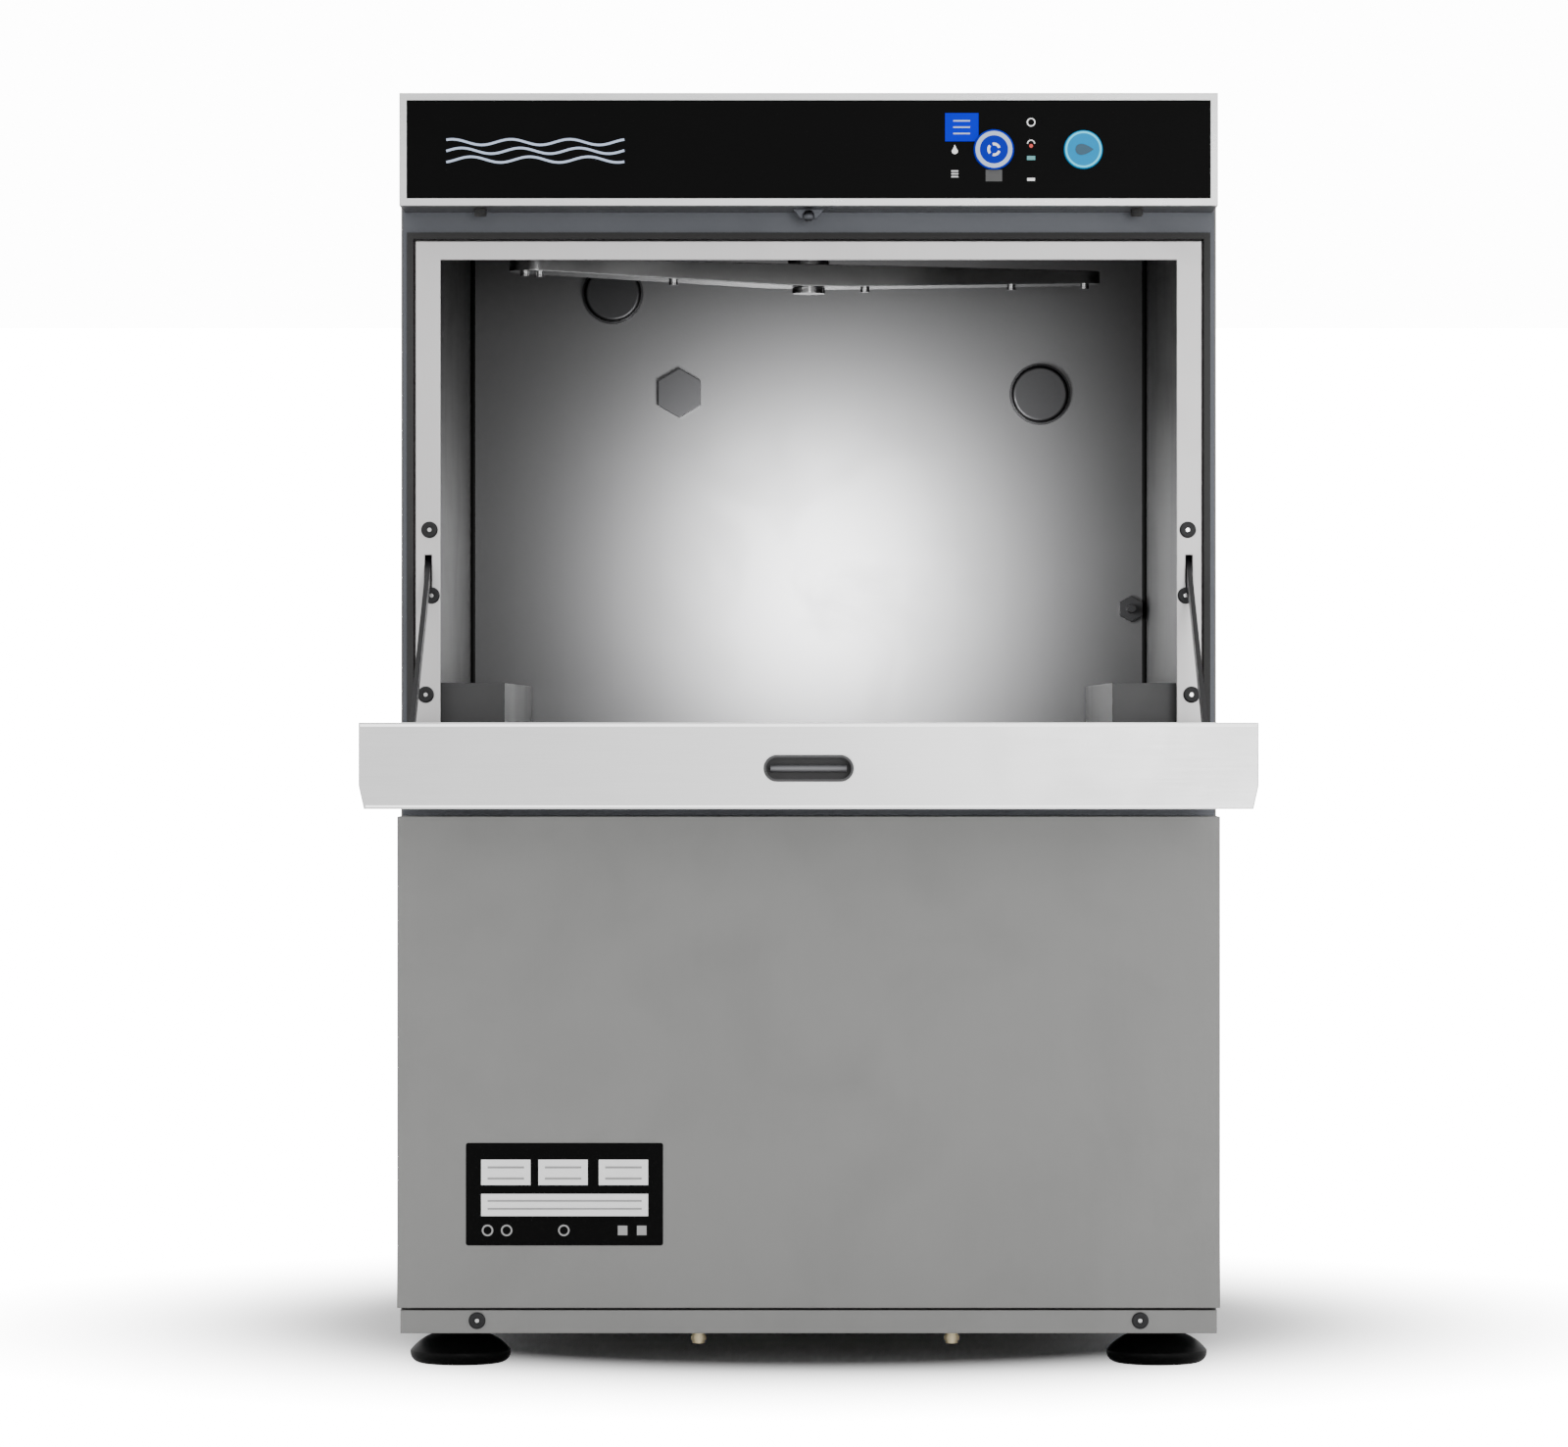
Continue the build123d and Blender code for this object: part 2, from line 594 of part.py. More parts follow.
# ---------------------------------------------------------------- wash chamber
WALL_CAPS = [(-138.0, 712.0), (163.0, 641.0)]
WALL_CAP_RADIUS = 21.5
RINSE_NUT = (-90.9, 641.7)
RINSE_NUT_RADIUS = 17.3
PROBE = (CHAMBER_HALF_WIDTH - 11.0, 489.8)
PROBE_RADIUS = 9.3
ANCHOR_RADIUS = 3.0
FILTER_LAP = 8.0
FILTER_SHEET = 1.2
FILTER_SLOT = 5.0


def wash_chamber():
    """Open-fronted stainless box with the tank opening in its floor and the springs' studs outside."""
    shape = tray(
        -CHAMBER_OUTER_HALF, CHAMBER_OUTER_HALF, FRAME_BACK - CASING_SHEET, CHAMBER_OUTER_BACK,
        CHAMBER_FLOOR - CASING_SHEET, CHAMBER_CEILING + CASING_SHEET, CASING_SHEET,
    )
    shape = shape.rotate(Axis((0, (FRAME_BACK - CASING_SHEET + CHAMBER_OUTER_BACK) / 2, 0), (0, 0, 1)), 180)
    shape -= block(-HALF_WIDTH, HALF_WIDTH, 0, FRAME_BACK, 0, CABINET_HEIGHT)
    half = TANK_HALF_WIDTH - TANK_LEDGE
    shape -= block(
        -half, half, TANK_FRONT + TANK_LEDGE, TANK_BACK - TANK_LEDGE, CHAMBER_FLOOR - 5, CHAMBER_FLOOR + 1
    )
    shape -= rod_z(0, HUB_Y, CHAMBER_CEILING - 1, CHAMBER_CEILING + 5, SPINDLE_RADIUS)
    y, z = SPRING_ANCHOR
    stud = rod_x(CHAMBER_OUTER_HALF, SPRING_X + 3, y, z, ANCHOR_RADIUS)
    return shape + stud + other_side(stud)


def wash_tank():
    """Tub under the chamber floor, open at the top."""
    half = TANK_HALF_WIDTH
    top = CHAMBER_FLOOR - CASING_SHEET
    sheet = TANK_SHEET
    shape = block(-half, half, TANK_FRONT, TANK_BACK, TANK_BOTTOM, top)
    shape -= block(
        -half + sheet, half - sheet, TANK_FRONT + sheet, TANK_BACK - sheet, TANK_BOTTOM + sheet, top + 1
    )
    shape -= rod_z(0, HUB_Y, TANK_BOTTOM - 1, TANK_BOTTOM + 5, RISER_RADIUS)
    return shape - rod_z(SUMP_X, PUMP_Y, TANK_BOTTOM - 1, TANK_BOTTOM + 5, SUMP_RADIUS - SUMP_WALL)


def tank_filter():
    """Slotted strainer plate that lies over the tank opening."""
    half = TANK_HALF_WIDTH - TANK_LEDGE + FILTER_LAP
    front = TANK_FRONT + TANK_LEDGE - FILTER_LAP
    back = TANK_BACK - TANK_LEDGE + FILTER_LAP
    top = CHAMBER_FLOOR + FILTER_SHEET
    shape = block(-half, half, front, back, CHAMBER_FLOOR, top)
    shape -= rod_z(0, HUB_Y, CHAMBER_FLOOR - 1, top + 1, SPINDLE_COLLAR + 2)
    slots = []
    for column in range(-5, 6):
        x = column * 2 * half / 12
        for y0, y1 in ((front + 22, HUB_Y - 40), (HUB_Y + 40, back - 22)):
            slots.append(block(x - FILTER_SLOT / 2, x + FILTER_SLOT / 2, y0, y1, CHAMBER_FLOOR - 1, top + 1))
    for slot in slots:
        shape -= slot
    return shape


def rack_rail():
    """Right rail: an upturned channel with a closed front end."""
    right = CHAMBER_HALF_WIDTH
    left = right - RAIL_WIDTH
    bottom = RAIL_TOP - RAIL_HEIGHT
    sheet = CASING_SHEET
    shape = block(left, right, RAIL_FRONT, RAIL_BACK, bottom, RAIL_TOP)
    return shape - block(
        left + sheet, right - sheet, RAIL_FRONT + sheet, RAIL_BACK + 1, bottom - 1, RAIL_TOP - sheet
    )


def wall_cap(x, z):
    """Round cap on the back wall, on a wider ring."""
    face = CHAMBER_BACK
    cap = rod_y(x, face - 9, face - 2, z, WALL_CAP_RADIUS - 1.5)
    cap = fillet(cap.faces().sort_by(Axis.Y)[0].edges(), 2.5)
    return cap + rod_y(x, face - 2.5, face, z, WALL_CAP_RADIUS)


def rinse_nut():
    """Hexagonal nut where the rinse pipe comes through the back wall."""
    x, z = RINSE_NUT
    return hexagon_y(x, CHAMBER_BACK - 6, CHAMBER_BACK, z, RINSE_NUT_RADIUS)


def probe_gland():
    """Small hexagonal gland with the temperature probe's tip."""
    x, z = PROBE
    body = hexagon_y(x, CHAMBER_BACK - 7, CHAMBER_BACK, z, PROBE_RADIUS)
    return body + rod_y(x, CHAMBER_BACK - 22, CHAMBER_BACK - 7, z, 3)


# ---------------------------------------------------------------- wash arms
def wash_arm():
    """Upper arm about the Z axis, its top face at Z 0 and its tips tapering, nozzles below."""
    hub = ARM_HUB_HEIGHT
    tip = ARM_TIP_HEIGHT
    outline = Polyline(
        (-ARM_RADIUS, 0), (ARM_RADIUS, 0), (ARM_RADIUS, -tip), (SPINDLE_NUT_RADIUS + 12, -hub),
        (-SPINDLE_NUT_RADIUS - 12, -hub), (-ARM_RADIUS, -tip), (-ARM_RADIUS, 0),
    )
    side = Plane.XZ * make_face(outline)
    bar = extrude(side, ARM_WIDTH / 2, both=True)
    plan = SlotOverall(2 * ARM_RADIUS, ARM_WIDTH)
    arm = bar & extrude(Pos(0, 0, -hub - 1) * plan, hub + 2)
    for reach in (NOZZLES_LEFT + NOZZLES_RIGHT):
        level = -hub + (hub - tip) * (abs(reach) - 23) / (ARM_RADIUS - 23)
        arm += rod_z(reach, 0, level - NOZZLE_HEIGHT, level + 2, NOZZLE_RADIUS)
    arm -= rod_z(0, 0, -hub - 1, 1, SPINDLE_RADIUS + RUNNING_CLEARANCE)
    return Rot(0, 0, ARM_TURN) * arm


NOZZLES_LEFT = [-206.0 + 8, -188.0, -95.0]
NOZZLES_RIGHT = [40.0, 145.0, 198.0]


def spindle():
    """Upper spindle about the Z axis: collar, journal and nut, with the arm's top at Z 0."""
    play = ARM_PLAY
    shaft_end = -ARM_HUB_HEIGHT - play
    shape = rod_z(0, 0, play, play + SPINDLE_COLLAR_LENGTH, SPINDLE_COLLAR)
    shape += rod_z(0, 0, shaft_end, play, SPINDLE_RADIUS)
    return shape + rod_z(0, 0, shaft_end - SPINDLE_NUT_HEIGHT, shaft_end, SPINDLE_NUT_RADIUS)


def upside_down(shape):
    """The lower arm and spindle are the upper ones turned over."""
    return shape.rotate(Axis.X, 180)


# ---------------------------------------------------------------- water works
def sump_cup():
    """Cup under the tank with its suction elbow to the pump."""
    top = TANK_BOTTOM
    bottom = top - SUMP_DEPTH
    cup = rod_z(SUMP_X, PUMP_Y, bottom, top, SUMP_RADIUS)
    inlet_end = PUMP_HALF_LENGTH + PUMP_INLET_LENGTH
    points = [(SUMP_X, PUMP_Y, bottom + 2), (SUMP_X, PUMP_Y, PUMP_Z), (inlet_end, PUMP_Y, PUMP_Z)]
    outer = pipe(points, [30], PUMP_INLET_RADIUS)
    inner = pipe(points, [30], PUMP_INLET_RADIUS - SUMP_WALL)
    hollow = rod_z(SUMP_X, PUMP_Y, bottom + SUMP_WALL, top + 1, SUMP_RADIUS - SUMP_WALL)
    return cup + outer - hollow - inner


PUMP_INLET_LENGTH = 26.0
PUMP_OUTLET_Z = PUMP_Z + 32.0
PUMP_OUTLET_END = PUMP_Y + PUMP_RADIUS + PUMP_NECK
IMPELLER_RADIUS = 42.0
IMPELLER_HALF = 10.0


def wash_pump_housing():
    """Volute with its axial inlet, tangential outlet and foot."""
    half = PUMP_HALF_LENGTH
    shape = rod_x(-half, half, PUMP_Y, PUMP_Z, PUMP_RADIUS)
    shape += rod_x(half, half + PUMP_INLET_LENGTH, PUMP_Y, PUMP_Z, PUMP_INLET_RADIUS)
    shape += rod_y(0, PUMP_Y, PUMP_OUTLET_END, PUMP_OUTLET_Z, FEED_RADIUS)
    shape += block(-half, half, PUMP_Y - 34, PUMP_Y + 34, TRAY_TOP, PUMP_Z - 20)
    inner_half = half - PUMP_WALL
    shape -= rod_x(-inner_half, inner_half, PUMP_Y, PUMP_Z, PUMP_RADIUS - PUMP_WALL)
    shape -= rod_x(0, half + PUMP_INLET_LENGTH + 1, PUMP_Y, PUMP_Z, PUMP_INLET_RADIUS - SUMP_WALL)
    shape -= rod_y(0, PUMP_Y + 10, PUMP_OUTLET_END + 1, PUMP_OUTLET_Z, FEED_RADIUS - FEED_WALL - 1)
    return shape - rod_x(-half - 1, 0, PUMP_Y, PUMP_Z, SHAFT_RADIUS + 1)


def wash_pump_motor():
    """Finned motor on the pump's back plate, bored for the shaft."""
    left = -PUMP_HALF_LENGTH - MOTOR_LENGTH
    right = -PUMP_HALF_LENGTH
    shape = rod_x(left, right, PUMP_Y, PUMP_Z, MOTOR_RADIUS - 4)
    for count in range(9):
        x = left + 12 + count * (MOTOR_LENGTH - 30) / 8
        shape += rod_x(x, x + 3, PUMP_Y, PUMP_Z, MOTOR_RADIUS)
    shape += block(left + 40, right - 40, PUMP_Y - 30, PUMP_Y + 30, TRAY_TOP, PUMP_Z - 20)
    return shape - rod_x(left + 6, right + 1, PUMP_Y, PUMP_Z, SHAFT_RADIUS + RUNNING_CLEARANCE)


def wash_pump_rotor():
    """Shaft and impeller."""
    shape = rod_x(-PUMP_HALF_LENGTH - MOTOR_LENGTH + 8, IMPELLER_HALF, PUMP_Y, PUMP_Z, SHAFT_RADIUS)
    shape += rod_x(-IMPELLER_HALF, -IMPELLER_HALF + 3, PUMP_Y, PUMP_Z, IMPELLER_RADIUS)
    blade = block(
        -IMPELLER_HALF, IMPELLER_HALF, PUMP_Y - 2, PUMP_Y + 2, PUMP_Z + 4, PUMP_Z + IMPELLER_RADIUS - 2
    )
    for count in range(6):
        shape += blade.rotate(Axis((0, PUMP_Y, PUMP_Z), (1, 0, 0)), 60 * count)
    return shape


def feed_path(radius):
    """The manifold's trunk from the pump up the back and over the chamber, as a solid bar."""
    points = [
        (0, PUMP_OUTLET_END, PUMP_OUTLET_Z), (0, FEED_BACK_Y, PUMP_OUTLET_Z),
        (0, FEED_BACK_Y, FEED_TOP_Z), (0, HUB_Y, FEED_TOP_Z), (0, HUB_Y, CHAMBER_CEILING + CASING_SHEET),
    ]
    return pipe(points, [FEED_BEND, FEED_BEND, 20], radius)


def wash_manifold():
    """Pipe from the pump to both wash arms."""
    riser_top = LOWER_ARM_BOTTOM - ARM_PLAY - SPINDLE_COLLAR_LENGTH
    shape = feed_path(FEED_RADIUS) + rod_z(0, HUB_Y, PUMP_OUTLET_Z, riser_top, RISER_RADIUS)
    shape -= feed_path(FEED_RADIUS - FEED_WALL)
    return shape - rod_z(0, HUB_Y, PUMP_OUTLET_Z, riser_top + 1, RISER_RADIUS - FEED_WALL)


DRAIN_PUMP_Z = 215.0
DRAIN_STUB_Y = PUMP_Y + 40.0


def drain_pump():
    """Small pump on the side of the sump cup."""
    start = SUMP_X + SUMP_RADIUS + 4
    shape = rod_x(start, start + DRAIN_PUMP_LENGTH, PUMP_Y, DRAIN_PUMP_Z, DRAIN_PUMP_RADIUS)
    neck = rod_x(SUMP_X, start, PUMP_Y, DRAIN_PUMP_Z, DRAIN_RADIUS)
    neck -= rod_z(SUMP_X, PUMP_Y, TANK_BOTTOM - SUMP_DEPTH - 1, TANK_BOTTOM + 1, SUMP_RADIUS)
    return shape + neck + rod_y(DRAIN_X, PUMP_Y, DRAIN_STUB_Y, DRAIN_PUMP_Z, DRAIN_RADIUS)


def drain_hose():
    """Hose from the drain pump to the spigot at the back."""
    points = [
        (DRAIN_X, DRAIN_STUB_Y, DRAIN_PUMP_Z), (DRAIN_X, DRAIN_STUB_Y + 120, DRAIN_PUMP_Z),
        (DRAIN_X, DRAIN_STUB_Y + 230, DRAIN_Z), (DRAIN_X, BACK_INNER - SPIGOT_INSIDE, DRAIN_Z),
    ]
    bends = [60, 60]
    return pipe(points, bends, DRAIN_RADIUS) - pipe(points, bends, DRAIN_RADIUS - FEED_WALL)


SPIGOT_INSIDE = 20.0


def drain_spigot():
    """Drain outlet through the back panel."""
    shape = rod_y(DRAIN_X, BACK_INNER - SPIGOT_INSIDE, CABINET_DEPTH, DRAIN_Z, SPIGOT_RADIUS - THREAD_STEP)
    shape += rod_y(DRAIN_X, CABINET_DEPTH, MACHINE_BACK, DRAIN_Z, SPIGOT_RADIUS)
    shape += rod_y(DRAIN_X, BACK_INNER - 4, BACK_INNER, DRAIN_Z, SPIGOT_RADIUS + 5)
    return shape - rod_y(
        DRAIN_X, BACK_INNER - SPIGOT_INSIDE - 1, MACHINE_BACK + 1, DRAIN_Z, SPIGOT_RADIUS - 3
    )


def rinse_boiler():
    """Round boiler lying along Y on two cradles."""
    shape = rod_y(BOILER_X, BOILER_FRONT, BOILER_BACK, BOILER_Z, BOILER_RADIUS)
    shape += rod_y(BOILER_X, BOILER_FRONT - 14, BOILER_FRONT, BOILER_Z, BOILER_FLANGE)
    wall = BOILER_WALL
    shape -= rod_y(BOILER_X, BOILER_FRONT + wall, BOILER_BACK - wall, BOILER_Z, BOILER_RADIUS - wall)
    rinse_x, rinse_z = RINSE_START
    shape -= rod_y(rinse_x, BOILER_BACK - 10, BOILER_BACK + 1, rinse_z, RINSE_PIPE_RADIUS - 1)
    shape -= rod_y(BOILER_X, BOILER_BACK - 10, BOILER_BACK + 1, INLET_Z, INLET_BORE)
    for y in (BOILER_FRONT + 25, BOILER_BACK - 40):
        cradle = block(BOILER_X - 30, BOILER_X + 30, y, y + 15, TRAY_TOP, BOILER_Z - 40)
        shape += cradle - rod_y(BOILER_X, y - 1, y + 16, BOILER_Z, BOILER_RADIUS - 1)
    return shape


def inlet_valve():
    """Solenoid valve between the boiler and the water inlet thread."""
    shape = rod_y(BOILER_X, BOILER_BACK, CABINET_DEPTH, INLET_Z, INLET_RADIUS - THREAD_STEP)
    shape += rod_y(BOILER_X, CABINET_DEPTH, MACHINE_BACK, INLET_Z, INLET_RADIUS)
    front = BOILER_BACK + 6
    shape += block(BOILER_X - 18, BOILER_X + 18, front, front + 36, INLET_Z - 16, INLET_Z + 16)
    shape += rod_x(BOILER_X + 18, BOILER_X + 50, BOILER_BACK + 24, INLET_Z, 14)
    return shape - rod_y(BOILER_X, BOILER_BACK - 1, MACHINE_BACK + 1, INLET_Z, INLET_BORE)


RINSE_START = (-190.0, 150.0)
RINSE_BACK_Y = CABINET_DEPTH - 30.0


def rinse_pipe():
    """Pipe from the boiler to the nut on the chamber's back wall."""
    x, z = RINSE_START
    nut_x, nut_z = RINSE_NUT
    points = [
        (x, BOILER_BACK, z), (x, RINSE_BACK_Y, z), (x, RINSE_BACK_Y, nut_z),
        (nut_x, RINSE_BACK_Y, nut_z), (nut_x, CHAMBER_OUTER_BACK, nut_z),
    ]
    bends = [22, 30, 30]
    return pipe(points, bends, RINSE_PIPE_RADIUS) - pipe(points, bends, RINSE_PIPE_RADIUS - 1)


def dosing_pumps():
    """Two peristaltic pumps for detergent and rinse aid."""
    made = []
    for x in (-165.0, -100.0):
        body = block(x - 25, x + 25, 92, 128, TRAY_TOP, TRAY_TOP + 60)
        made.append(body + rod_y(x, 72, 92, TRAY_TOP + 34, 22))
    return made


def base_nipples():
    """Two hose nipples through the base tray."""
    made = []
    for x in NIPPLE_X:
        nipple = rod_z(x, NIPPLE_Y, 12, TRAY_TOP + 8, NIPPLE_RADIUS)
        nipple += rod_z(x, NIPPLE_Y, 14, 17, NIPPLE_RADIUS + 1)
        nipple += rod_z(x, NIPPLE_Y, TRAY_TOP, TRAY_TOP + 4, NIPPLE_RADIUS + 3)
        made.append(nipple - rod_z(x, NIPPLE_Y, 11, TRAY_TOP + 9, NIPPLE_RADIUS - 2))
    return made


def cable_gland():
    """Gland that the supply cable comes in through."""
    shape = rod_y(GLAND_X, BACK_INNER - 12, MACHINE_BACK - 4, GLAND_Z, GLAND_RADIUS)
    shape += hexagon_y(GLAND_X, CABINET_DEPTH, CABINET_DEPTH + 6, GLAND_Z, GLAND_RADIUS + 4)
    shape += hexagon_y(GLAND_X, BACK_INNER - 5, BACK_INNER, GLAND_Z, GLAND_RADIUS + 4)
    return shape - rod_y(GLAND_X, BACK_INNER - 13, MACHINE_BACK, GLAND_Z, GLAND_BORE)


# ---------------------------------------------------------------- latch and bumpers
STRIKE_Y = 24.0
BUMPER_X = 208.0
BUMPER_Y = 30.0
BUMPER_HEIGHT = 4.5


def latch_strike():
    """Ball on a tapered bracket under the fascia."""
    ball_z = DOOR_TOP + STRIKE_GAP + STRIKE_RADIUS
    ears = Polyline(
        (-10, FASCIA_BOTTOM), (10, FASCIA_BOTTOM), (5, ball_z - 1.5), (-5, ball_z - 1.5), (-10, FASCIA_BOTTOM)
    )
    plate = Pos(0, STRIKE_Y + 6, 0) * extrude(Plane.XZ * make_face(ears), 4)
    return plate + Pos(0, STRIKE_Y, ball_z) * Sphere(STRIKE_RADIUS)


def door_bumpers():
    """Rubber studs under the fascia."""
    stud = rod_z(BUMPER_X, BUMPER_Y, FASCIA_BOTTOM - BUMPER_HEIGHT, FASCIA_BOTTOM, 4)
    stud = fillet(stud.faces().sort_by(Axis.Z)[0].edges(), 1.5)
    return [stud, other_side(stud)]


# ---------------------------------------------------------------- hinges
def hinge_bracket():
    """Right bracket, welded behind the front frame and bored for the hinge pin."""
    half = BRACKET_THICKNESS / 2
    radius = BRACKET_RADIUS
    arm = block(HINGE_X - half, HINGE_X + half, HINGE_Y, FRAME_BACK + 14, HINGE_Z - radius, HINGE_Z + radius)
    arm += rod_x(HINGE_X - half, HINGE_X + half, HINGE_Y, HINGE_Z, radius)
    arm += block(HINGE_X - half, INNER_HALF_WIDTH, FRAME_BACK, FRAME_BACK + 3, HINGE_Z - 20, HINGE_Z + 20)
    return arm - rod_x(HINGE_X - 9, HINGE_X + 9, HINGE_Y, HINGE_Z, HINGE_PIN_RADIUS + RUNNING_CLEARANCE)


def bracket_way():
    """Room for the right bracket through the door's whole swing, in the shut door."""
    half = BRACKET_THICKNESS / 2 + SWING_CLEARANCE
    reach = BRACKET_RADIUS + SWING_CLEARANCE
    return block(
        HINGE_X - half, HINGE_X + half, HINGE_Y - reach, DOOR_THICKNESS + 5,
        DOOR_BOTTOM - 5, HINGE_Z + reach,
    )


BLOCK_LEFT = HINGE_X - 11.0
BLOCK_BACK = 28.0
BLOCK_TOP = HINGE_Z + 20.0


def hinge_block():
    """Right hinge block in the door's lower corner."""
    right = DOOR_INNER_HALF - DOOR_LEAN
    shape = block(BLOCK_LEFT, right, DOOR_SHEET, BLOCK_BACK, DOOR_BOTTOM + DOOR_SHEET, BLOCK_TOP)
    shape -= bracket_way()
    return shape - rod_x(BLOCK_LEFT - 1, DOOR_HALF_WIDTH, HINGE_Y, HINGE_Z, HINGE_PIN_RADIUS)


def hinge_pin():
    """Right hinge pin, fixed in its block."""
    return rod_x(BLOCK_LEFT, DOOR_INNER_HALF - DOOR_LEAN, HINGE_Y, HINGE_Z, HINGE_PIN_RADIUS)


STAY_POCKET_WIDTH = STAY_THICKNESS + 2 * SWING_CLEARANCE
STAY_CHEEK = 4.0


def stay_pocket(y0, y1):
    """Slot that the stay arm swings in, in the shut door."""
    half = STAY_POCKET_WIDTH / 2
    y, z = PIN_SHUT
    turned = STAY_ANGLE - radians(90)
    out = (DOOR_THICKNESS - y) / cos(turned)
    low = z + out * sin(turned) - STAY_WIDTH / 2 / cos(turned) - 3
    return block(STAY_X - half, STAY_X + half, y0, y1, low, z + STAY_WIDTH / 2 + 3)


def stay_block():
    """Right pivot block for the stay arm, behind the door's inner panel."""
    y, z = PIN_SHUT
    half = STAY_POCKET_WIDTH / 2 + STAY_CHEEK
    back = DOOR_THICKNESS - DOOR_SHEET
    pocket = stay_pocket(y - STAY_WIDTH / 2 - 2, back + 5)
    low = pocket.bounding_box().min.Z - 3
    high = pocket.bounding_box().max.Z + 3
    shape = block(STAY_X - half, STAY_X + half, y - STAY_WIDTH / 2 - 6, back, low, high) - pocket
    return shape - rod_x(STAY_X - half - 1, STAY_X + half + 1, y, z, STAY_PIN_RADIUS + RUNNING_CLEARANCE)


def stay_arm():
    """Right stay arm, with its pivot pin on the door and the stop that the spring hooks on."""
    y, z = PIN_OPEN
    left = STAY_X - STAY_THICKNESS / 2
    right = STAY_X + STAY_THICKNESS / 2
    length = STOP_REACH + STAY_TAIL
    bar = block(left, right, y, y + length, z - STAY_WIDTH / 2, z + STAY_WIDTH / 2)
    bar += rod_x(left, right, y, z, STAY_WIDTH / 2)
    bar = bar.rotate(Axis((0, y, z), (1, 0, 0)), degrees(STAY_ANGLE))
    half = STAY_POCKET_WIDTH / 2 + STAY_CHEEK
    bar += rod_x(STAY_X - half, STAY_X + half, y, z, STAY_PIN_RADIUS)
    return bar + rod_x(left, SPRING_X + 3, *STOP_OPEN, STAY_STOP_RADIUS)


def stay_spring():
    """Right tension spring as a plain sleeve between its hooks, drawn as it is with the door down."""
    y, z = STOP_OPEN
    length = hypot(SPRING_ANCHOR[0] - y, SPRING_ANCHOR[1] - z)
    front_gap = STAY_STOP_RADIUS + 0.4
    back_gap = ANCHOR_RADIUS + 0.4
    shape = rod_y(SPRING_X, y + 16, y + length - 14, z, SPRING_RADIUS)
    shape += rod_y(SPRING_X, y + front_gap, y + length - back_gap, z, 1.2)
    return shape.rotate(Axis((0, y, z), (1, 0, 0)), degrees(SPRING_ANGLE))


# ---------------------------------------------------------------- door, drawn shut
def leaning_block(half, face, depth, z0, z1):
    """A bar with the door's plan: its sides lean in near the outer face."""
    outline = Polyline(
        (-half + DOOR_LEAN, face), (half - DOOR_LEAN, face), (half, DOOR_LEAN_DEPTH), (half, depth),
        (-half, depth), (-half, DOOR_LEAN_DEPTH), (-half + DOOR_LEAN, face),
    )
    return Pos(0, 0, z0) * extrude(make_face(outline), z1 - z0)


def latch_stadium(wall, z0, z1):
    """The latch opening's shape, smaller all round by a wall."""
    sketch = Pos(0, LATCH_FROM_FACE) * SlotOverall(LATCH_LENGTH - 2 * wall, LATCH_WIDTH - 2 * wall)
    return Pos(0, 0, z0) * extrude(sketch, z1 - z0)


def both_sides(shape):
    """A cut on the right and its copy on the left."""
    return shape + other_side(shape)


def door_outer_skin():
    """Outer pan of the door."""
    sheet = DOOR_SHEET
    shape = leaning_block(DOOR_HALF_WIDTH, 0, DOOR_THICKNESS, DOOR_BOTTOM, DOOR_TOP)
    shape -= leaning_block(
        DOOR_INNER_HALF, sheet, DOOR_THICKNESS + 1, DOOR_BOTTOM + sheet, DOOR_TOP - sheet
    )
    shape -= latch_stadium(0, DOOR_TOP - 5, DOOR_TOP + 1)
    return shape - both_sides(bracket_way())


def door_inner_panel():
    """Inner sheet with the dish that gives the rack its depth."""
    sheet = DOOR_SHEET
    face = DOOR_THICKNESS
    bottom = DOOR_BOTTOM + sheet
    top = DOOR_TOP - sheet
    shape = block(-DOOR_INNER_HALF, DOOR_INNER_HALF, face - sheet, face, bottom, top)
    low = DOOR_BOTTOM + DISH_MARGIN + 8
    high = DOOR_TOP - DISH_MARGIN
    floor = face - DISH_DEPTH
    half = DISH_HALF_WIDTH
    shape += block(-half - sheet, half + sheet, floor - sheet, face, low - sheet, high + sheet)
    shape -= block(-half, half, floor, face + 1, low, high)
    return shape - both_sides(bracket_way() + stay_pocket(face - 10, face + 1))


def door_insulation():
    """Slab between the outer pan and the dish."""
    half = DISH_HALF_WIDTH - 2
    back = DOOR_THICKNESS - DISH_DEPTH - DOOR_SHEET
    return block(-half, half, DOOR_SHEET, back, DOOR_BOTTOM + DISH_MARGIN, DOOR_TOP - DISH_MARGIN)


SEAL_WIDTH = 4.0
SEAL_HEIGHT = 3.6


def mouth_seal():
    """Rubber seal round the portal frame that the shut door closes on."""
    y0 = FRAME_SETBACK - SEAL_HEIGHT
    shape = block(
        -PORTAL_HALF_WIDTH - SEAL_WIDTH, PORTAL_HALF_WIDTH + SEAL_WIDTH, y0, FRAME_SETBACK,
        PORTAL_BOTTOM, PORTAL_TOP + SEAL_WIDTH,
    )
    return shape - block(
        -PORTAL_HALF_WIDTH, PORTAL_HALF_WIDTH, y0 - 1, FRAME_SETBACK + 1, PORTAL_BOTTOM - 1, PORTAL_TOP
    )


def latch_cup():
    """Cup in the door's free edge."""
    outer = latch_stadium(0, DOOR_TOP - LATCH_DEPTH, DOOR_TOP)
    return outer - latch_stadium(1.4, DOOR_TOP - LATCH_DEPTH + 1.4, DOOR_TOP + 1)


def latch_roller():
    """Bar across the latch cup."""
    z = DOOR_TOP - LATCH_DEPTH / 2
    return rod_x(-ROLLER_LENGTH / 2, ROLLER_LENGTH / 2, LATCH_FROM_FACE, z, ROLLER_RADIUS)


